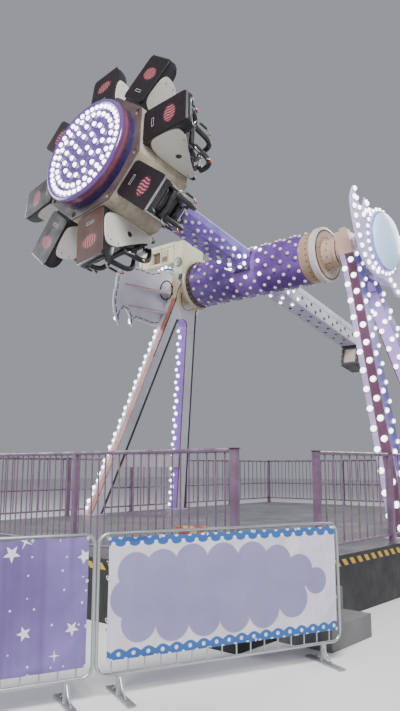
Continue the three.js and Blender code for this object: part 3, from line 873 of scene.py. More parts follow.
def smooth_path(points, steps=5):
    """A Catmull-Rom curve through points of any dimension."""
    path = np.array(points, float)
    ends = np.vstack([2 * path[0] - path[1], path, 2 * path[-1] - path[-2]])
    made = []
    for a, b, c, d in zip(ends, ends[1:], ends[2:], ends[3:]):
        for k in range(steps):
            t = k / steps
            square, cube = 2 * a - 5 * b + 4 * c - d, 3 * b - a - 3 * c + d
            made.append(0.5 * (2 * b + (c - a) * t + square * t**2 + cube * t**3))
    made.append(path[-1])
    return np.array(made)


# A bulb's collar and ribbed cap, as (radius, z) in shares of the bulb's radius
COLLAR = [(1.22, -0.02), (1.22, 0.22), (1.0, 0.30)]
CAP = [(1.0, 0.30), (0.98, 0.55), (0.80, 0.92), (0.45, 1.14), (0.0, 1.22)]


def bulbs(name, places, body, slot, radius, cap, collar="purple", matrix=None):
    """A bulb at each (point, normal) pair, in the frame given by matrix."""
    one, every = Shape(), Shape()
    for mark, profile in enumerate((COLLAR, CAP)):
        one.turn([(r * radius, z * radius) for r, z in profile], 12, mark)
    template = np.array(one.verts, float)
    for point, normal in places:
        turn = np.array(Vector((0, 0, 1)).rotation_difference(Vector(normal)).to_matrix())
        base = len(every.verts)
        every.verts += (template @ turn.T + np.array(point)).tolist()
        every.faces += [tuple(i + base for i in face) for face in one.faces]
        every.marks += one.marks
    every.put(name, body, slot, collar, cap, matrix=matrix)


def paint(node, material, bevel=0.006):
    """Gives a CAD node its material, and rounds its edges a little."""
    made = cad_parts[node]
    made.data.materials.clear()
    made.data.materials.append(MAT[material])
    weld = made.modifiers.new("weld", "WELD")
    weld.merge_threshold = 0.0001
    soft = made.modifiers.new("edges", "BEVEL")
    soft.width = bevel
    soft.segments = 2
    soft.limit_method = "ANGLE"
    soft.angle_limit = math.radians(35)
    soft.harden_normals = False


# Simulated pieces
def taken(made):
    """The evaluated mesh of an object as points and faces. The object goes."""
    graph = bpy.context.evaluated_depsgraph_get()
    mesh = bpy.data.meshes.new_from_object(made.evaluated_get(graph))
    points = np.zeros(len(mesh.vertices) * 3)
    mesh.vertices.foreach_get("co", points)
    faces = [tuple(p.vertices) for p in mesh.polygons]
    source = made.data
    bpy.data.objects.remove(made)
    for data in (mesh, source):
        bpy.data.meshes.remove(data)
    return points.reshape(-1, 3), faces


def scratch_object(verts, faces):
    return linked("scratch", mesh_of("scratch", verts, faces))


def finer(points, faces):
    made = scratch_object(points, faces)
    made.modifiers.new("finer", "SUBSURF").levels = 1
    return taken(made)


def simulated(made, cloth, points, frames, cap):
    """Runs an object's cloth, and moves its points by no more than cap."""
    cloth.point_cache.frame_start = 1
    cloth.point_cache.frame_end = frames
    for step in range(1, frames + 1):
        scene.frame_set(step)
    moved = taken(made)[0] - points
    scene.frame_set(1)
    reach = np.linalg.norm(moved, axis=1, keepdims=True)
    return points + moved * np.minimum(1.0, cap / np.maximum(reach, 1e-9))


def swollen(verts, faces, voxel, cap, pressure=4.0):
    """A closed form remeshed in voxels and blown up a little as cloth under pressure."""
    made = scratch_object(verts, faces)
    remesh = made.modifiers.new("remesh", "REMESH")
    remesh.mode = "VOXEL"
    remesh.voxel_size = voxel
    points, quads = taken(made)
    made = scratch_object(points, quads)
    cloth = made.modifiers.new("cloth", "CLOTH")
    cloth.settings.use_pressure = True
    cloth.settings.uniform_pressure_force = pressure
    cloth.settings.effector_weights.gravity = 0.0
    cloth.settings.quality = 4
    points = simulated(made, cloth, points, 20, cap)
    return finer(points, quads)


# Camera, floor and lights
def camera():
    data = bpy.data.cameras.new("camera")
    data.lens = 32.9
    data.sensor_width = 36.0
    scene.camera = linked("camera", data)
    scene.camera.location = (6.735, -9.306, 1.5)
    scene.camera.rotation_euler = (QUARTER + math.radians(9.69), 0, math.radians(41))


def floor():
    shader = Shader("floor", (0.72, 0.72, 0.73), 0.7)
    shader.set(Base_Color=shader.noise(0.5).ramp((0.3, (0.70, 0.70, 0.71)), (0.7, (0.75, 0.75, 0.76))))
    far = 60.0
    corners = [(-far, -far, 0), (far, -far, 0), (far, far, 0), (-far, far, 0)]
    mesh = mesh_of("floor", corners, [(0, 1, 2, 3)])
    mesh.materials.append(shader.material)
    made = linked("floor", mesh)
    made.location.z = -0.002


def light(name, place, height, size, power, colour=(1, 1, 1)):
    """A round area light turned to a point at a height over the origin."""
    data = bpy.data.lights.new(name, "AREA")
    data.shape = "DISK"
    data.size = size
    data.energy = power
    data.color = colour
    made = linked(name, data)
    made.location = place
    toward = Vector((0, 0, height)) - Vector(place)
    made.rotation_euler = toward.to_track_quat("-Z", "Y").to_euler()


def lights():
    world = bpy.data.worlds.new("world")
    world.use_nodes = True
    background = world.node_tree.nodes["Background"]
    background.inputs[0].default_value = (0.80, 0.83, 0.90, 1)
    background.inputs[1].default_value = 0.42
    scene.world = world
    light("key", (9, -12, 13), 3.5, 7, 4200, (1.0, 0.98, 0.96))
    light("fill", (-12, -7, 8), 3.5, 9, 1300, (0.92, 0.94, 1.0))
    light("back", (3, 13, 12), 4, 8, 1500)


# Platform
def platform():
    for node in ("left_base_beam", "right_base_beam", "cross_beam"):
        paint(node, "base")
    paint("deck", "deck")
    paint("entry_steps", "tread")
    for side in ("front", "back", "left", "right"):
        paint(f"{side}_skirt", "skirt")
    railings()
    foot_plates()
    kerb()


def railings():
    """Round-tube railings: posts, top and bottom rails, a mid rail where seen, and thin bars."""
    x0, x1, y0, y1 = PLATFORM.values()
    left, right, front, back = x0 + RAIL_INSET, x1 - RAIL_INSET, y0 + RAIL_INSET, y1 - RAIL_INSET
    # Each side: its ends, its bays, whether it has a mid rail, and its bars' spacing and radius
    rows = {
        "front": ((left, front), (right, front), 3, False, 0.105, 0.0080),
        "back": ((left, back), (right, back), 3, True, 0.105, 0.0080),
        "left": ((left, front), (left, back), 6, True, 0.175, 0.0095),
        "right": ((right, GATE_END_Y + POST / 2), (right, back), 5, False, 0.175, 0.0095),
    }
    for side, (start, end, *rest) in rows.items():
        shape = railing(Vector((*start, 0)), Vector((*end, 0)), side in ("front", "back"), *rest)
        name, node = f"{side}_tube_railing", f"{side}_railing"
        shape.put(name, "root", "railing_paint", "rail", "steel", "ring_dark", node=node)


def railing(start, end, corners, bays, middle, spacing, bar):
    """One side's railing. The front and back rows hold the corner posts."""
    shape = Shape()
    span, along = (end - start).length, (end - start).normalized()
    top, low = RAIL_TOP - 0.022, DECK_TOP + 0.11
    for k in range(bays + 1):
        x, y, _ = start + along * (span * k / bays)
        if not corners and (k == bays or (k == 0 and start.y < GATE_END_Y - 1.0)):
            continue
        large = k in (0, bays) or not corners
        half = POST / 2 if large else 0.024
        shape.block(x, y, half, half, DECK_TOP + 0.002, RAIL_TOP - 0.008, 0, 0.007)
        if large:
            shape.block(x, y, 0.040, 0.040, RAIL_TOP - 0.009, RAIL_TOP - 0.001, 2, 0.002)
        shape.block(x, y, 0.042, 0.042, DECK_TOP + 0.001, DECK_TOP + 0.012, 0, 0.003)
        for dx in (-0.033, 0.033):
            shape.bolt(at(x + dx, y + 0.033, DECK_TOP + 0.012), 1, 0.007, 0.007, 0.008)
    for z, radius in [(top, 0.021), (low, 0.015)] + ([(1.08, 0.014)] if middle else []):
        shape.tube([(*(start + along * 0.02).xy, z), (*(end - along * 0.02).xy, z)], radius, 12)
    count = round(span / spacing)
    for k in range(1, count):
        x, y, _ = start + along * (span * k / count)
        shape.tube([(x, y, low), (x, y, top)], bar, 8)
    return shape


def foot_plates():
    """A bolted plate round the foot of each leg."""
    shape = Shape()
    head = [(0, 0), (0.014, 0), (0.014, 0.012), (0.008, 0.016), (0, 0.016)]
    level = DECK_TOP + 0.021
    for side in ("left", "right"):
        x = lean_x(side, DECK_TOP + 0.01)
        for end in (-1, 1):
            y = end * leg_middle(DECK_TOP + 0.01)
            shape.block(x, y, 0.165, 0.20, DECK_TOP + 0.001, level, 0, 0.004)
            for dx in (-0.145, 0.145):
                for dy in (-0.17, -0.06, 0.06, 0.17):
                    shape.turn(head, 6, 1, at(x + dx, y + dy, level))
    shape.put("leg_foot_plates", "root", "tower_white", "panel", "steel")


def kerb():
    """A short striped kerb on the deck, beside the gate."""
    start, end = Vector((0.52, -2.65, 0)), Vector((0.85, -2.37, 0))
    along = (end - start).normalized()
    place = at(*start.xy, DECK_TOP + 0.001, math.atan2(along.y, along.x))
    shape = Shape()
    shape.box(0, (end - start).length, -0.03, 0.03, 0, 0.10, 0, 0.012)
    shape.put("deck_kerb", "root", "deck_plate", "kerb", matrix=place)


# Towers
def tower(side):
    for node in ("front_leg", "back_leg", "head"):
        paint(f"{side}_{node}", f"{side}_tower")
    paint(f"{side}_cross_tie", "tie_white")
    paint(f"{side}_burst_panel", "panel" if side == "right" else "left_panel", 0.004)
    paint(f"{side}_bearing", "beige")
    leg_bulbs(side)
    sign(side)
    panel_bulbs(side)
    panel_wiring(side)
    tie_strip(side)


# Columns of bulbs on one leg: the face, the place across it, the start as a share of the step,
# and the bulbs' radius
LEG_COLUMNS = {
    "left": [
        ("front", 0.112, 0.0, 0.038), ("front", 0.085, 0.5, 0.034), ("outer", 0.085, 0.25, 0.03),
        ("outer", -0.02, 0.75, 0.03), ("reveal", 0.050, 0.1, 0.038), ("reveal", 0.105, 0.6, 0.032),
        ("outer", -0.09, 0.5, 0.02),
    ],
    "right": [
        ("front", -0.078, 0.0, 0.043), ("front", 0.050, 0.5, 0.043), ("outer", 0.078, 0.1, 0.038),
        ("outer", -0.080, 0.6, 0.030), ("reveal", -0.055, 0.3, 0.038), ("reveal", 0.060, 0.8, 0.038),
    ],
}


def leg_bulbs(side):
    """Staggered columns of lit bulbs down the faces of both legs."""
    sizes = {}
    s, half = SIDE[side], LEG / 2
    for face, across, start, radius in LEG_COLUMNS[side]:
        highest = ARCH_Z if face == "reveal" else HIGHEST_BULB[side]
        for k in range(18):
            z = 4.86 - (k + start) * BULB_STEP[side]
            if not DECK_TOP + 0.08 <= z <= highest:
                continue
            for end in (-1, 1):
                middle = end * leg_middle(z)
                if face == "outer":
                    point = (lean_x(side, z) + s * half, middle + end * across, z)
                    normal = (s, 0, -SLOPE_X[side])
                else:
                    turn = end if face == "front" else -end
                    point = (lean_x(side, z) + s * across, middle + turn * half, z)
                    normal = (0, turn, SLOPE_Y * (1 if turn == end else -1))
                sizes.setdefault(radius, []).append((point, normal))
    for number, (radius, places) in enumerate(sizes.items(), 1):
        bulbs(f"{side}_leg_bulbs_{number}", places, "root", "tower_stripes", radius, "lit", "white")


def tie_strip(side):
    """A row of small lit caps along the tie's two broad faces, near its top edge."""
    low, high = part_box(f"{side}_cross_tie")
    middle = (low.x + high.x) / 2
    reach = leg_middle(TIE_HIGH) - LEG / 2 - 0.03
    count = int(2 * reach / 0.12)
    places = []
    for k in range(count):
        y = -reach + 2 * reach * (k + 0.5) / count
        for s in (-1, 1):
            places.append(((middle + s * 0.09, y, TIE_HIGH - 0.035), (s, 0, 0)))
    bulbs(f"{side}_tie_bulbs", places, "root", "tie_paint", 0.018, "lit", "white")


def sign(side):
    """A round domed face in a ring, edged with bulbs."""
    radius, steps = 0.455, 14
    rim = PANEL_OFFSET[side] + PANEL_THICK + 0.001
    profile = [(0.0, rim), (radius, rim), (radius, rim + 0.06)]
    for k in range(1, steps):
        t = k / steps * QUARTER
        profile.append((radius * math.cos(t), rim + 0.065 + 0.13 * math.sin(t)))
    profile.append((0.0, rim + 0.195))
    ring = [
        (r, rim + z) for r, z in (
            (0.452, 0), (0.480, 0), (0.480, 0.055), (0.472, 0.070), (0.458, 0.070), (0.452, 0.055),
            (0.452, 0),
        )
    ]
    shape = Shape()
    upright = Matrix.Rotation(QUARTER, 4, "Y")
    shape.turn(profile, 72, 0, upright)
    shape.turn(ring, 72, 1, upright)
    for y, z in round_places(12, 0.466, 0.5):
        place = at(rim + 0.070, y, z) @ upright
        shape.turn([(0, 0), (0.006, 0), (0.005, 0.003), (0, 0.004)], 8, 2, place)
    out = outward_frame(side)
    materials, node = ("sign", "sign_ring", "steel"), f"{side}_round_sign"
    shape.put(f"{side}_sign_face", "root", "sign_face", *materials, matrix=out, node=node)
    places = [((rim - 0.001, y, z), (1, 0, 0)) for y, z in round_places(26, 0.515)]
    bulbs(f"{side}_sign_bulbs", places, "root", "sign_face", 0.03, "lit", "panel", out)


def round_places(count, radius, start=0.0):
    """Even places on a circle."""
    angles = (FULL * (k + start) / count for k in range(count))
    return [(radius * math.cos(angle), radius * math.sin(angle)) for angle in angles]


# The flame-edged panel as a path: M and L go to a point, Q bends over a first point to a second
BURST = [
    ("M", -0.870, 0.660), ("Q", -1.010, 0.480, -0.985, 0.330), ("Q", -0.930, 0.060, -0.760, -0.320),
    ("L", -0.660, -0.450), ("Q", -0.400, -0.640, 0, -0.600), ("Q", 0.250, -0.620, 0.480, -0.800),
    ("L", 1.090, -0.740), ("L", 1.130, -0.910), ("Q", 1.210, -0.620, 1.310, -0.580),
    ("Q", 1.420, -0.640, 1.470, -0.935), ("Q", 1.600, -0.700, 1.600, -0.500),
    ("Q", 1.600, -0.330, 1.545, -0.210), ("Q", 1.560, 0.120, 1.330, 0.215),
    ("Q", 1.000, 0.340, 0.660, 0.260), ("Q", 0.420, 0.360, 0.250, 0.380), ("L", -0.250, 0.380),
    ("Q", -0.450, 0.420, -0.520, 0.580), ("L", -0.640, 0.280), ("Q", -0.760, 0.420, -0.870, 0.660),
]
# Gussets behind each panel: how far each reaches along Y, and its level, in the panel's frame
GUSSETS = [(1.350, -0.120), (1.250, -0.520), (-0.700, 0.060)]


def burst_outline(steps=5):
    points = []
    for kind, *values in BURST:
        if kind != "Q":
            points.append(tuple(values))
            continue
        start, control, end = Vector(points[-1]), Vector(values[:2]), Vector(values[2:])
        for t in (k / steps for k in range(1, steps + 1)):
            points.append(tuple((1 - t) ** 2 * start + 2 * t * (1 - t) * control + t * t * end))
    return points[:-1]


def border_spots(inset):
    """Points at even steps along the panel's outline, moved inwards."""
    points = [Vector(tuple(v)) for v in inset_outline(burst_outline(), inset)]
    loop = [*points, points[0]]
    lengths = [(b - a).length for a, b in zip(loop, loop[1:])]
    total = sum(lengths)
    count = round(total / 0.15)
    made, index, walked = [], 0, 0.0
    for k in range(count):
        target = total * k / count
        while walked + lengths[index] < target:
            walked += lengths[index]
            index += 1
        made.append(loop[index].lerp(loop[index + 1], (target - walked) / lengths[index]))
    return made


def panel_bulbs(side):
    """Border bulbs on the outer face of the burst panel."""
    face = PANEL_OFFSET[side] + PANEL_THICK
    places = [((face, p.x, p.y), (1, 0, 0)) for p in border_spots(0.06) if p.length >= 0.58]
    out = outward_frame(side)
    bulbs(f"{side}_panel_bulbs", places, "root", "panel_paint", 0.038, "lit", "panel", out)


def panel_wiring(side):
    """On the panel's back: short lengths of black wiring round its border, and the gussets' edges."""
    shape = Shape()
    back = PANEL_OFFSET[side]
    for here, after in followed(border_spots(0.05)):
        way = after - here
        if here.length < 0.50 or way.length < 0.10 or way.length > 0.17:
            continue
        place = at(back, here.x, here.y, math.atan2(way.y, way.x), "X")
        shape.box(-0.007, 0.002, 0.0, 0.09, -0.006, 0.006, 0, 0.002, place)
        shape.box(-0.010, 0.002, -0.012, 0.004, -0.010, 0.010, 0, 0.003, place)
    for reach, level in GUSSETS:
        start, end = (0.150, 0.25 * reach + 0.02 * reach, level), (back - 0.010, 0.985 * reach, level)
        shape.tube([start, end], 0.008, 8, 1)
    name = f"{side}_panel_wiring"
    shape.put(name, "root", "panel_paint", "black", "salmon", matrix=outward_frame(side))


# Drum, arms and counterweight
def swing():
    drum()
    flange()
    hoop()
    axles()
    drum_bulbs()
    paint("gondola_arm", "violet", 0.008)
    paint("counterweight_arm", "arm_white", 0.008)
    paint("counterweight", "weight", 0.008)
    arm_bulbs()
    arm_fittings()


def drum():
    """The drum's purple shell and its bare, bolted end."""
    r, left, right = DRUM_RADIUS, DRUM_LEFT + 0.001, DRUM_RIGHT - 0.001
    bare = DRUM_RIGHT - 0.21
    shape = Shape()
    shape.turn(
        [(0, left), (r - 0.01, left), (r, left + 0.009), (r, bare - 0.006), (r - 0.004, bare)], 128,
    )
    shape.turn([(r - 0.004, bare), (r - 0.001, bare + 0.003), (r - 0.001, right), (0, right)], 128, 1)
    bolt = at(r - 0.002, 0, bare + 0.14, QUARTER, "Y")
    for turned in turns(26):
        head = [(0, 0), (0.014, 0), (0.014, 0.004), (0.008, 0.006), (0, 0.006)]
        shape.turn(head, 8, 2, turned @ bolt)
    materials = ("drum", "bare_end", "brown")
    shape.put("drum_shell", "swing", "drum_purple", *materials, matrix=ALONG_X, node="drum")


def flange():
    """The bolted flange at the drum's left end."""
    shape = Shape()
    left = DRUM_LEFT
    shape.turn(
        [(0, left - 0.06), (0.475, left - 0.06), (0.485, left - 0.05), (0.485, left - 0.012),
         (0.475, left), (0, left)], 128,
    )
    shape.turn(
        [(0.428, left + 0.001), (0.440, left + 0.001), (0.440, left + 0.080), (0.428, left + 0.085)],
        128, 2,
    )
    for turned in turns(30):
        place = turned @ at(0.457, 0, left - 0.06, math.pi, "X")
        shape.turn([(0, 0), (0.015, 0), (0.015, 0.010), (0.011, 0.015), (0, 0.016)], 6, 1, place)
        place = turned @ at(0.439, 0, left + 0.040, QUARTER, "Y")
        shape.turn([(0, 0), (0.020, 0), (0.020, 0.010), (0.012, 0.014), (0, 0.014)], 6, 3, place)
    materials = ("flange", "steel", "ring_dark", "rust")
    name, node = "drum_flange_ring", "drum_flange"
    shape.put(name, "swing", "flange_steel", *materials, matrix=ALONG_X, node=node)


def hoop():
    """The ring at the drum's right end, with a bare face and a black line round it."""
    shape = Shape()
    right = DRUM_RIGHT
    face = right + 0.119
    shape.turn(
        [(0, right), (0.455, right), (0.475, right + 0.015), (0.475, right + 0.105),
         (0.455, right + 0.12), (0, right + 0.12)], 128,
    )
    shape.turn([(0, face), (0.400, face), (0.400, face + 0.0025), (0, face + 0.0025)], 96, 3)
    shape.turn([(0.400, face), (0.432, face), (0.432, face + 0.0035), (0.400, face + 0.0035)], 96, 1)
    for turned in turns(24):
        shape.bolt(turned @ at(0.300, 0, right + 0.12), 2, 0.013, 0.010, 0.012)
    materials = ("hoop", "black", "steel", "bare_end")
    shape.put("drum_hoop", "swing", "hoop_ring", *materials, matrix=ALONG_X, node="drum_ring")


def axles():
    paint("left_axle", "cream")
    paint("right_axle", "beige")
    shape = Shape()
    for turned in turns(14):
        shape.bolt(turned @ at(0.259, 0, 1.60, QUARTER, "Y"), 0, 0.012, 0.005, 0.007, 8)
    shape.put("axle_bolts", "swing", "axle_beige", "brown", matrix=ALONG_X)


def arm_fittings():
    """Collars round the arms at the drum and at their far ends, and the block's frame bolts."""
    shape = Shape()
    half = ARM / 2
    # Each collar: the way along the arm, its start, its width, how proud it is, and its material
    for end, reach, width, proud, mark in (
        (-1, 2.20, 0.05, 0.005, 0), (1, 0.50, 0.03, 0.006, 2),
        (1, WEIGHT["start"] - 0.07, 0.05, 0.005, 0),
    ):
        y0, y1 = sorted((end * reach, end * (reach + width)))
        h = half + proud
        for x0, x1, z0, z1 in (
            (-h, h, half - 0.001, h), (-h, h, -h, -half + 0.001),
            (half - 0.001, h, -h, h), (-h, -half + 0.001, -h, h),
        ):
            shape.box(x0, x1, y0, y1, z0, z1, mark, 0.002)
    for y in (WEIGHT["start"] + 0.03, WEIGHT["end"] - 0.03):
        for z in np.linspace(WEIGHT["low"] + 0.03, WEIGHT["high"] - 0.03, 7):
            for s in (-1, 1):
                place = at(s * WEIGHT["half"], y, float(z), s * QUARTER, "Y")
                shape.bolt(place, 1, 0.012, 0.008, 0.010)
    for x in (-0.170, 0.170):
        for z in np.linspace(WEIGHT["low"] + 0.03, -0.22, 4):
            shape.bolt(at(x, WEIGHT["start"], float(z), QUARTER, "X"), 1, 0.011, 0.008, 0.010)
    shape.put("arm_collars", "swing", "arm_violet", "black", "steel", "purple", matrix=SWING)


def drum_bulbs():
    """A quincunx of capped bulbs round the drum, left out where the arms meet it."""
    places, lit = [], []
    rows, pitch, columns = 24, 0.305, 8
    for row in range(rows):
        angle = FULL * (row + 0.5) / rows
        normal = Vector((0, math.cos(angle), math.sin(angle)))
        for column in range(columns):
            x = DRUM_LEFT + 0.175 + (column + (row % 2) * 0.5) * pitch
            under_arm = abs(x) < ARM / 2 + 0.05 and abs(normal.z) < 0.52
            if x > DRUM_RIGHT - 0.25 or under_arm:
                continue
            near = abs(x) < 0.36 and normal.y < 0.0 and abs(normal.z) < 0.75
            (lit if near else places).append((Vector((x, 0, 0)) + normal * DRUM_RADIUS, normal))
    bulbs("drum_bulbs", places, "swing", "drum_purple", 0.031, "cap", matrix=SWING)
    bulbs("drum_lit_bulbs", lit, "swing", "drum_purple", 0.034, "lit", matrix=SWING)


def arm_bulbs():
    """Staggered rows of capped bulbs on the faces of each arm, lit next to the drum."""
    half = ARM / 2
    caps, lit, white_lit, holes = [], [], [], []
    pitch, tail_pitch, tail_end = 0.31, 0.34, WEIGHT["start"] - 0.12
    faces = [((s, 0, 0), (0, 0, 1), (-0.012, -0.085, -0.150), (0.0, -0.105)) for s in (-1, 1)]
    faces += [((0, 0, s), (1, 0, 0), (-0.110, 0.0, 0.110), (-0.080, 0.080)) for s in (-1, 1)]
    for normal, across, rows, tail_rows in faces:
        normal, across = Vector(normal), Vector(across)
        for row, offset in enumerate(rows):
            for k in range(6):
                y = 0.60 + (k + 0.5 * (row % 2)) * pitch
                point = normal * half + across * offset + Vector((0, -y, 0))
                (lit if k < 1 or (k < 2 and row == 0) else caps).append((point, normal))
        for row, offset in enumerate(tail_rows):
            for k in range(10):
                y = 0.62 + (k + 0.5 * (row % 2)) * tail_pitch
                if y > tail_end:
                    continue
                point = normal * half + across * offset + Vector((0, y, 0))
                (white_lit if k < 2 else holes).append((point, normal))
    bulbs("arm_bulbs", caps, "swing", "arm_violet", 0.031, "cap", matrix=SWING)
    bulbs("arm_lit_bulbs", lit, "swing", "arm_violet", 0.036, "lit", matrix=SWING)
    bulbs("tail_lit_bulbs", white_lit, "swing", "arm_white", 0.034, "lit", matrix=SWING)
    shape = Shape()
    for point, normal in holes:
        turn = Vector((0, 0, 1)).rotation_difference(Vector(normal)).to_matrix().to_4x4()
        place = Matrix.Translation(point) @ turn
        shape.turn([(0.026, -0.001), (0.036, -0.001), (0.034, 0.003), (0.026, 0.0035)], 18, 0, place)
        shape.turn([(0, 0.0008), (0.027, 0.0008)], 18, 1, place)
    shape.put("tail_sockets", "swing", "arm_white", "black", "brown", matrix=SWING)


# Gondola
def gondola():
    paint("gondola_frame", "frame")
    disc()
    pocket_shade_discs()
    seats()


def pocket_shade_discs():
    """A black round boss in each of the frame's eight corner pockets, as painted shade, with a small
    steel nub.
    """
    shape = Shape()
    for k in range(SEATS):
        angle = math.radians(FIRST_SEAT + (k + 0.5) * 360 / SEATS)
        place = Matrix.Rotation(angle, 4, "Z") @ at(CORNER_HOLE_R, 0, DISC_INNER - 0.058)
        shape.turn([(0, 0), (0.036, 0), (0.036, 0.010), (0.028, 0.016), (0, 0.017)], 20, 0, place)
        shape.turn([(0, 0.016), (0.010, 0.016), (0.009, 0.026), (0, 0.027)], 6, 1, place)
    shape.put("corner_pocket_shade", "gondola", "gondola_paint", "black", "steel", matrix=GONDOLA)


def disc():
    """The lamp disc with a round edge and a recessed face, and its rings of lit bulbs."""
    shape = Shape()
    r, low, high, edge = DISC_RADIUS, DISC_INNER, DISC_OUTER, 0.045
    face = high - 0.036
    profile = [(0, low), (r - 0.03, low), (r - 0.008, low + 0.008), (r, low + 0.03)]
    for k in range(9):
        t = math.radians(180 * k / 8)
        profile.append((r - edge + edge * math.cos(t), high - edge + edge * math.sin(t)))
    profile += [(r - 0.095, high - 0.034), (0, face)]
    shape.turn(profile, 128)
    shape.put("lamp_disc_shell", "gondola", "disc_purple", "disc", matrix=GONDOLA, node="lamp_disc")
    # Each ring of bulbs: its radius, its count and its start as a share of the step
    rings = ((0.675, 40, 0), (0.560, 28, 0.5), (0.400, 15, 0), (0.240, 8, 0.3), (0.085, 2, 0))
    places = []
    for radius, count, start in rings:
        places += [((x, y, face), (0, 0, 1)) for x, y in round_places(count, radius, start)]
    bulbs("disc_bulbs", places, "gondola", "disc_purple", 0.035, "lit", matrix=GONDOLA)


# The seat's section from the head round to its front edge: rider's side and back side, as (r, z)
SHELL_CURVE = smooth_path([
    (0.970, 2.842, 0.915, 2.875), (1.005, 2.900, 0.905, 2.900), (1.018, 3.050, 0.903, 3.050),
    (1.022, 3.250, 0.903, 3.250), (1.028, 3.450, 0.903, 3.450), (1.035, 3.560, 0.903, 3.600),
    (1.060, 3.612, 0.903, 3.750), (1.105, 3.632, 0.905, 3.850), (1.200, 3.628, 1.100, 3.856),
    (1.320, 3.618, 1.250, 3.848), (1.460, 3.605, 1.420, 3.838), (1.560, 3.615, 1.550, 3.830),
    (1.620, 3.650, 1.630, 3.824), (1.655, 3.710, 1.652, 3.800),
])
SHELL_STEPS = np.linalg.norm(np.diff(SHELL_CURVE[:, :2], axis=0), axis=1)
SHELL_WALK = np.concatenate([[0.0], np.cumsum(SHELL_STEPS)])
# Across the seat: each point's y, and its depth on the rider's side (None where a cushion lies)
SHELL_FRONT = [
    (-0.230, 0.016), (-0.222, 0.004), (-0.200, 0.0), (-0.182, 0.018), (-0.168, None), (-0.09, None),
    (0, None), (0.09, None), (0.168, None), (0.182, 0.018), (0.200, 0.0), (0.222, 0.004), (0.230, 0.016),
]
SHELL_BACK = [
    (0.230, 0.020), (0.218, 0.004), (0.15, 0.0), (0, 0.0), (-0.15, 0.0), (-0.218, 0.004),
    (-0.230, 0.020),
]
WING = [
    (0.904, 2.922), (1.040, 2.922), (1.118, 3.100), (1.298, 3.380), (1.458, 3.600),
    (1.458, 3.796), (0.904, 3.846),
]
PLATE_X0, PLATE_X1, PLATE_HALF = 0.942, 1.658, 0.260


def on_shell(u, depth):
    """The point (r, z) at a way u along the rider's side and a depth into the shell."""
    section = np.stack([np.interp(u, SHELL_WALK, SHELL_CURVE[:, k]) for k in range(4)], axis=-1)
    inward = section[..., 2:] - section[..., :2]
    inward /= np.linalg.norm(inward, axis=-1, keepdims=True)
    return section[..., :2] + inward * np.asarray(depth)[..., None]


def shell_mesh():
    """A moulded channel: deeper where the cushions lie, with a rolled bolster along each side."""
    verts = []
    for u, (a, b, c, d) in zip(SHELL_WALK, SHELL_CURVE):
        thick = math.hypot(c - a, d - b)
        front = [
            (y, min(CUSHION_DEEP, 0.6 * thick) if low is None else min(low, 0.3 * thick))
            for y, low in SHELL_FRONT
        ]
        for y, depth in front + [(y, thick - min(low, 0.3 * thick)) for y, low in SHELL_BACK]:
            r, z = on_shell(u, depth)
            verts.append((r, y, z))
    size, rows = len(SHELL_FRONT) + len(SHELL_BACK), len(SHELL_WALK)
    faces = [
        (i * size + k, i * size + (k + 1) % size, (i + 1) * size + (k + 1) % size, (i + 1) * size + k)
        for i in range(rows - 1) for k in range(size)
    ]
    faces.append(tuple(reversed(range(size))))
    faces.append(tuple(range((rows - 1) * size, rows * size)))
    return verts, faces


def seat_body():
    """Everything hard on a seat, in the seat's own frame."""
    shape = Shape()
    shape.add(*shell_mesh(), 0)
    angles = np.linspace(-QUARTER, QUARTER, 12)
    lug = [(1.085 + 0.035 * math.cos(t), 2.90 + 0.035 * math.sin(t)) for t in angles]
    lug = [(0.985, 2.868), *lug, (0.985, 2.932)]
    for side in (-1, 1):
        low, high = sorted((side * 0.2255, side * 0.2445))
        shape.add(*plate_mesh(rounded(WING, 3, 0.22), low, high, 0.005), 1)
        face = at(1.12, side * 0.2445, 3.37, -side * QUARTER, "X")
        shape.turn([(0, 0.0010), (0.043, 0.0010)], 24, 0, face)
        shape.turn([(0.043, -0.002), (0.043, 0.0030), (0.050, 0.0035), (0.056, -0.002)], 24, 1, face)
        for r, z in ((0.96, 3.00), (0.96, 3.74), (1.38, 3.70), (1.38, 3.56)):
            bolt = at(r, side * 0.2445, z, -side * QUARTER, "X")
            shape.turn([(0, 0.0), (0.013, -0.001), (0.011, 0.004), (0, 0.005)], 8, 2, bolt)
        low, high = sorted((side * 0.061, side * 0.099))
        shape.add(*plate_mesh(lug, low, high, 0.003), 2)
    x0, x1, half = PLATE_X0, PLATE_X1, PLATE_HALF
    outline = rounded([(x0, -half), (x1, -half), (x1, half), (x0, half)], 3, 0.07)
    verts, faces = plate_mesh(outline, 0.0, 0.022, 0.005, "xy")
    # The plate's upper face falls a little towards its outer edge
    shape.add([(x, y, 3.862 - 0.048 * (x - 0.94) / 0.72 + z) for x, y, z in verts], faces, 3)
    shape.box(1.650, 1.659, -0.235, 0.235, 3.806, 3.838, 2, 0.003)
    return shape


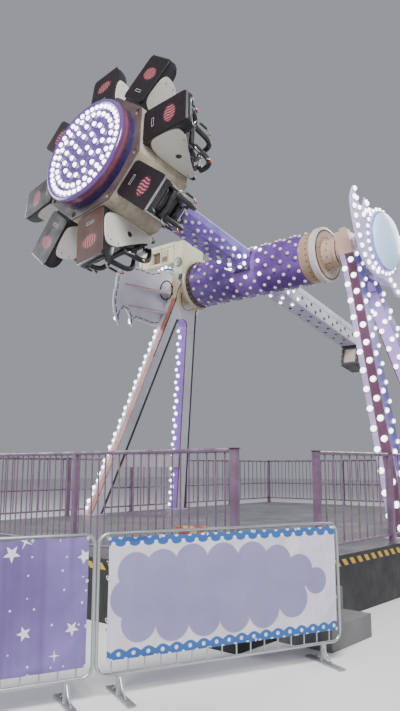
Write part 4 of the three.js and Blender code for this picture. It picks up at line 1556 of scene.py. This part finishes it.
def shell_pad(axis, start, end, half, corner, quilt, voxel=0.014):
    """A cushion simulated flat, quilted in broad puffs and bent into the shell's channel.

    start and end are values of r (axis 0) or z (axis 1) on the rider's side.
    """
    walk = [float(np.interp(v, SHELL_CURVE[:, axis], SHELL_WALK)) for v in (start, end)]
    outline = [(walk[0], -half), (walk[1], -half), (walk[1], half), (walk[0], half)]
    slab = plate_mesh(rounded(outline, 3, corner), 0.010, 0.040, 0.012, "xy")
    points, faces = swollen(*slab, voxel, 0.009)
    u, y, depth = points.T
    centre, reach = sum(walk) / 2, (walk[1] - walk[0]) / 2
    front = np.clip((0.028 - depth) / 0.02, 0, 1)
    crown = np.clip((1 - ((u - centre) / reach) ** 2) * (1 - (y / half) ** 2), 0, 1) ** 0.5
    puffs = 0.5 + 0.5 * np.cos(FULL * (u - centre) / quilt)
    seams = 1 - np.exp(-(((np.abs(y) - 0.095) / 0.008) ** 2))
    depth = depth - front * crown * (0.004 + 0.004 * puffs * seams) + front * 0.004 * (1 - seams)
    place = on_shell(u, np.clip(depth, -0.006, CUSHION_DEEP - 0.002))
    return np.stack([place[:, 0], y, place[:, 1]], axis=1), faces


# A shoulder bar's path and width: (r, z, radius)
HORN = [
    (1.075, 2.886, 0.030), (1.150, 2.886, 0.040), (1.235, 2.900, 0.043), (1.305, 2.950, 0.044),
    (1.342, 3.050, 0.043), (1.352, 3.180, 0.043), (1.360, 3.300, 0.042), (1.364, 3.352, 0.036),
]


def horn_pads():
    """The two padded shoulder bars, one simulated and mirrored."""
    curve = smooth_path(HORN, 4)
    radius = [float(w) - 0.004 for _, _, w in curve]
    radius[0] *= 0.7
    radius[-1] *= 0.7
    bar = tube_mesh([(r, HORN_Y, z) for r, z, _ in curve], radius, 14)
    points, faces = swollen(*bar, 0.013, 0.005, 3.0)
    points[:, 1] = np.clip(points[:, 1], 0.121, 0.209)
    mirrored = [tuple(i + len(points) for i in reversed(face)) for face in faces]
    return np.vstack([points, points * np.array([1, -1, 1])]), faces + mirrored


def lap_pad():
    outline = rounded([(1.326, 3.342), (1.402, 3.342), (1.402, 3.424), (1.326, 3.424)], 2, 0.25)
    points, faces = swollen(*plate_mesh(outline, -0.194, 0.194, 0.014), 0.014, 0.006, 3.0)
    r, y, z = points.T
    waist = 0.010 * np.exp(-((y / 0.07) ** 2))
    return np.stack([r + np.where(r > 1.364, 0, waist), y, z], axis=1), faces


def restraint_frame():
    """Hubs and pin of the hinge, the steel core, the handles and their grips."""
    shape = Shape()
    shape.tube([(PIVOT_R, -0.130, PIVOT_Z), (PIVOT_R, 0.130, PIVOT_Z)], 0.0095, 14, 1)
    hub = [(0, 0), (0.034, 0), (0.038, 0.004), (0.038, 0.020), (0.030, 0.026), (0, 0.026)]
    for side in (-1, 1):
        shape.turn(hub, 24, 0, at(PIVOT_R, side * 0.104, PIVOT_Z, -side * QUARTER, "X"))
        arm = [
            (PIVOT_R, side * 0.128, PIVOT_Z), (1.11, side * 0.150, 2.892),
            (1.15, side * HORN_Y, 2.887),
        ]
        shape.tube(smooth_path(arm, 4), 0.022, 12)
        tip = [(1.362, side * HORN_Y, 3.33), (1.364, side * 0.160, 3.37), (1.364, side * 0.150, 3.385)]
        shape.tube(smooth_path(tip, 4), 0.024, 12)
        handle = [
            (1.372, side * 0.196, 3.040), (1.392, side * 0.232, 3.052), (1.400, side * 0.254, 3.100),
            (1.400, side * 0.256, 3.195), (1.400, side * 0.254, 3.290), (1.392, side * 0.232, 3.338),
            (1.372, side * 0.196, 3.350),
        ]
        shape.tube(smooth_path(handle), 0.0115, 12, 1)
        grip = [(1.400, side * 0.255, z) for z in (3.120, 3.126, 3.264, 3.270)]
        shape.tube(grip, [0.012, 0.0165, 0.0165, 0.012], 14, 2)
        end = at(1.386, side * 0.234, 3.036, math.pi, "X")
        shape.turn([(0, 0), (0.022, 0.001), (0.027, 0.010), (0.020, 0.022), (0, 0.025)], 18, 3, end)
    return shape


def seats():
    """Eight seats and restraints, each piece made once and put at every place."""
    hard, bars = seat_body(), restraint_frame()
    back = shell_pad(1, 2.995, 3.530, 0.158, 0.10, 0.135)
    pan = shell_pad(0, 1.135, 1.600, 0.160, 0.12, 0.155)
    head = shell_pad(1, 2.866, 2.976, 0.130, 0.18, 0.22, 0.012)
    horns, lap = horn_pads(), lap_pad()
    for k in range(SEATS):
        place = seat_frame(k)
        seat, bar = f"seat_{k + 1}", f"restraint_{k + 1}"
        # Painted light: the lit seat's plate takes the lighter copy.
        shell = ("seat", "wing", "steel", "plate_lit" if k + 1 == LIT_SEAT else "plate")
        hard.put(f"{seat}_shell", "gondola", "seat_shell", *shell, matrix=place, node=seat)
        for part, template, fill in (("back", back, 0.7), ("pan", pan, 0.7), ("headrest", head, 0.8)):
            pad(f"{seat}_{part}_cushion", template, "gondola", place)
        tubes = ("black", "chrome", "grip", "grip_red")
        bars.put(f"{bar}_frame", bar, "restraint_pad", *tubes, matrix=place, node=bar)
        pad(f"{bar}_shoulder_pads", horns, bar, place)
        pad(f"{bar}_lap_pad", lap, bar, place)


def pad(name, template, body, place):
    """A padded piece from a simulated template."""
    put(name, *template, body, "restraint_pad", "vinyl", matrix=place)


# Drive
def drive():
    """The gear case and motor housing, with their hatches, seams, bolts and fixed wiring."""
    paint("gear_case", "cream", 0.012)
    paint("motor_housing", "cream", 0.012)
    shape = Shape()
    front = Matrix.Rotation(QUARTER, 4, "X")
    shape.box(-2.415, -2.185, -0.212, -0.203, 5.565, 5.795, 1, 0.002)
    for x in (-2.37, -2.30, -2.23):
        shape.box(x - 0.012, x + 0.012, -0.226, -0.212, 5.575, 5.785, 1, 0.004)
    shape.box(-2.120, -1.960, -0.296, -0.279, 5.545, 5.800, 2, 0.006)
    shape.box(-2.105, -1.975, -0.300, -0.295, 5.565, 5.660, 1, 0.002)
    for x, z in ((-2.108, 5.557), (-1.972, 5.557), (-2.108, 5.788), (-1.972, 5.788)):
        shape.bolt(at(x, -0.296, z) @ front, 3, 0.008, 0.006, 0.007)
    for x in (-1.800, -2.145, -2.455, -2.700):
        shape.box(x - 0.004, x + 0.004, -0.2825, -0.279, 5.515, 5.915, 4, 0.001)
    shape.box(-2.79, -1.79, -0.2835, -0.279, 5.838, 5.846, 4, 0.001)
    for x in np.linspace(-2.74, -1.84, 10):
        shape.bolt(at(float(x), -0.280, 5.880) @ front, 3, 0.009, 0.006, 0.007)
    for z in np.linspace(5.28, 5.85, 7):
        for x in (-1.757, -1.563):
            for s in (-1, 1):
                shape.bolt(at(x, s * 0.300, float(z), -s * QUARTER, "X"), 3, 0.012, 0.008, 0.010)
    gear = at(-1.655, -0.299, 5.470) @ front
    shape.turn([(0, 0), (0.090, 0), (0.096, 0.006), (0.096, 0.022), (0.080, 0.030), (0.034, 0.032),
                (0.030, 0.045), (0, 0.046)], 40, 5, gear)
    for x, y in round_places(8, 0.066):
        shape.bolt(gear @ at(x, y, 0.030), 3, 0.008, 0.007, 0.008)
    for y in (-0.19, -0.07, 0.05, 0.17):
        shape.box(-2.806, -2.799, y - 0.03, y + 0.03, 5.56, 5.79, 4, 0.002)
    for x in (-2.62, -1.90):
        shape.tube(arc((x, 0, 5.945), 0.026, -20, 200, 12), 0.007, 8, 3)
    shape.box(-1.64, -1.50, -0.325, -0.245, 5.095, 5.215, 0, 0.008)
    shape.box(-1.63, -1.51, -0.330, -0.324, 5.105, 5.205, 4, 0.002)
    materials = ("cream", "recess", "salmon_box", "steel", "black", "gear")
    shape.put("drive_fittings", "root", "housing_cream", *materials)
    wiring()


def wiring():
    """Fixed cables: clipped down the left leg, looped on its head, and round the right bearing."""
    shape = Shape()
    path = [(-1.545, -0.318, 5.115), (-1.560, -0.312, 5.02)]
    for z in (4.90, 4.70, 4.45, 4.20, 3.90, 3.60):
        y = -(max(leg_middle(min(z, 4.70)), 0.177) + LEG / 2 + 0.0065)
        path.append((lean_x("left", z) + 0.110, y, z))
    shape.tube(smooth_path(path), 0.0065, 8)
    for x, y, z in path[3:]:
        shape.block(x, y, 0.016, 0.010, z - 0.008, z + 0.008, 0, 0.003)
    loop = [(-1.925 + 0.125 * c, -0.362 + 0.040 * c, 4.93 + 0.19 * s) for c, s in round_places(36, 1.0)]
    shape.tube(loop, 0.012, 10, 0, True)
    for z in (4.85, 4.99):
        shape.box(-1.822, -1.790, -0.336, -0.299, z - 0.012, z + 0.012, 0, 0.003)
    sling = [(-1.608, y, z) for y, z in (
        (-0.255, 5.08), (-0.254, 4.88), (-0.250, 4.66), (-0.185, 4.545), (-0.077, 4.519), (0.080, 4.580),
        (0.200, 4.690),
    )]
    shape.tube(smooth_path(sling), 0.006, 8)
    for x, y, z in sling[:3] + sling[-1:]:
        shape.box(x - 0.010, x + 0.008, y - 0.014, y + 0.014, z - 0.008, z + 0.008, 0, 0.003)
    shape.tube(arc((1.79, 0, SHAFT_Z), 0.306, 90, 230, 24, "yz"), 0.0075, 8)
    shape.box(1.752, 1.868, -0.088, 0.088, 5.293, 5.372, 1, 0.010)
    shape.box(1.762, 1.858, -0.078, 0.078, 5.371, 5.379, 1, 0.003)
    shape.put("fixed_wiring", "root", "bearing_paint", "black", "salmon_box")
    drape = arc((0, 0, 0), 0.434, 60, 165, 20, "yz")
    strap = Shape()
    strap.tube([(DRUM_LEFT + 0.12 + 0.10 * k / 20, p.y, p.z) for k, p in enumerate(drape)], 0.006, 8)
    strap.put("drum_cable", "swing", "drum_purple", "black", matrix=SWING)


# Frontage
def fence():
    for name in ("banner", "starry"):
        place = fence_frame(BAY_START[name])
        barrier_name, slot = f"{name}_tube_barrier", f"{name}_fabric"
        tubes = barrier()
        tubes.verts = [tuple(place @ Vector(v)) for v in tubes.verts]
        tubes.put(barrier_name, "root", "galvanised", "galvanised", "black", node=f"{name}_barrier")
        cloth, ties = hung_cloth(*CLOTHS[name])
        hung = put(f"{name}_sheet", *cloth, "root", slot, name, matrix=place, node=f"{name}_cloth")
        knots = ties.put(f"{name}_ties", "root", slot, "tie", matrix=place)


def barrier():
    """A crowd barrier: a round-cornered tube frame, thin bars, and two flat feet."""
    shape = Shape()
    low, high, middle, corner = FENCE["low"] - 0.05, FENCE["high"], 0.017, 0.075
    x0, x1, z0, z1 = TUBE, BAY - TUBE, low + TUBE, high - TUBE
    loop = []
    for cx, cz, start in (
        (x1 - corner, z1 - corner, 0), (x0 + corner, z1 - corner, 90),
        (x0 + corner, z0 + corner, 180), (x1 - corner, z0 + corner, 270),
    ):
        loop += arc((cx, middle, cz), corner, start, start + 90, 6)
    shape.tube(loop, TUBE - 0.001, 12, 0, True)
    bars = 17
    for k in range(1, bars):
        x = BAY * k / bars
        shape.tube([(x, middle, z0), (x, middle, z1)], 0.0058, 8)
    for x in (0.18, BAY - 0.18):
        shape.block(x, middle, 0.022, 0.012, 0.01, low + 0.02, 0, 0.003)
        shape.block(x, 0, 0.030, 0.219, 0.001, 0.012, 0, 0.003)
        for s in (-1, 1):
            brace = [(x, middle, 0.13), (x, middle + s * 0.05, 0.06), (x, middle + s * 0.12, 0.012)]
            shape.tube(smooth_path(brace, 4), 0.006, 8)
    for x in (0.10, BAY - 0.10):
        for z in (0.42, 0.86):
            shape.tube(arc((x, middle + 0.030, z), 0.016, 0, 300, 10, "xy"), 0.004, 6)
    return shape


def hung_cloth(left, width, low, high):
    """A cloth tied along its edges to the bars, simulated under gravity, and its ties."""
    columns, rows = 76, 32
    slack = 0.994
    gap, wide = (1 - slack) / 2, columns + 1
    spots = []
    for j in range(rows + 1):
        for i in range(wide):
            s, t = i / columns, j / rows
            ripple = math.sin(11.0 * s + 2.0 * t) * math.sin(math.pi * t) * math.sin(math.pi * s)
            spots.append((left + width * (gap + slack * s), CLOTH_FACE - 0.006 - 0.008 * abs(ripple),
                          low + (high - low) * (gap + slack * t)))
    faces = [
        (j * wide + i, j * wide + i + 1, (j + 1) * wide + i + 1, (j + 1) * wide + i)
        for j in range(rows) for i in range(columns)
    ]
    held = []
    for t in range(6):
        i = round(columns * t / 5)
        held += [i, rows * wide + i]
    for j in (rows // 3, 2 * rows // 3):
        held += [j * wide, j * wide + columns]
    points = np.array(spots)
    points = fallen_cloth(points, faces, held)
    points = np.clip(points, (left, -0.050, low), (left + width, -0.0085, high))
    return finer(points, faces), ties_at([spots[index] for index in held], left, width, low, high)


def ties_at(spots, left, width, low, high):
    """A loop round the bars and an eyelet at each spot where the cloth is held."""
    ties = Shape()
    inset = 0.012
    for x, _, z in spots:
        x = min(max(x, left + inset), left + width - inset)
        z = min(max(z, low + inset), high - inset)
        loop = [(x + 0.009 * c, 0.010 + 0.024 * s, z + 0.012 * s) for c, s in round_places(16, 1.0)]
        ties.tube(loop, 0.0026, 6, 0, True)
        eye = at(x, -0.0150, z, QUARTER, "X")
        ties.turn([(0.004, 0), (0.010, 0), (0.009, 0.002), (0.004, 0.002)], 12, 0, eye)
    return ties


def fallen_cloth(points, faces, held):
    """24 frames of cloth under gravity, held at its ties."""
    made = scratch_object(points, faces)
    made.vertex_groups.new(name="held").add(held, 1.0, "REPLACE")
    cloth = made.modifiers.new("cloth", "CLOTH")
    settings = cloth.settings
    settings.vertex_group_mass = "held"
    settings.quality = 6
    settings.mass = 0.35
    settings.tension_stiffness = settings.compression_stiffness = 18
    settings.shear_stiffness = 8
    settings.bending_stiffness = 0.6
    return simulated(made, cloth, points, 24, CLOTH_REACH)


camera()
floor()
lights()
platform()
tower("left")
tower("right")
swing()
gondola()
drive()
fence()
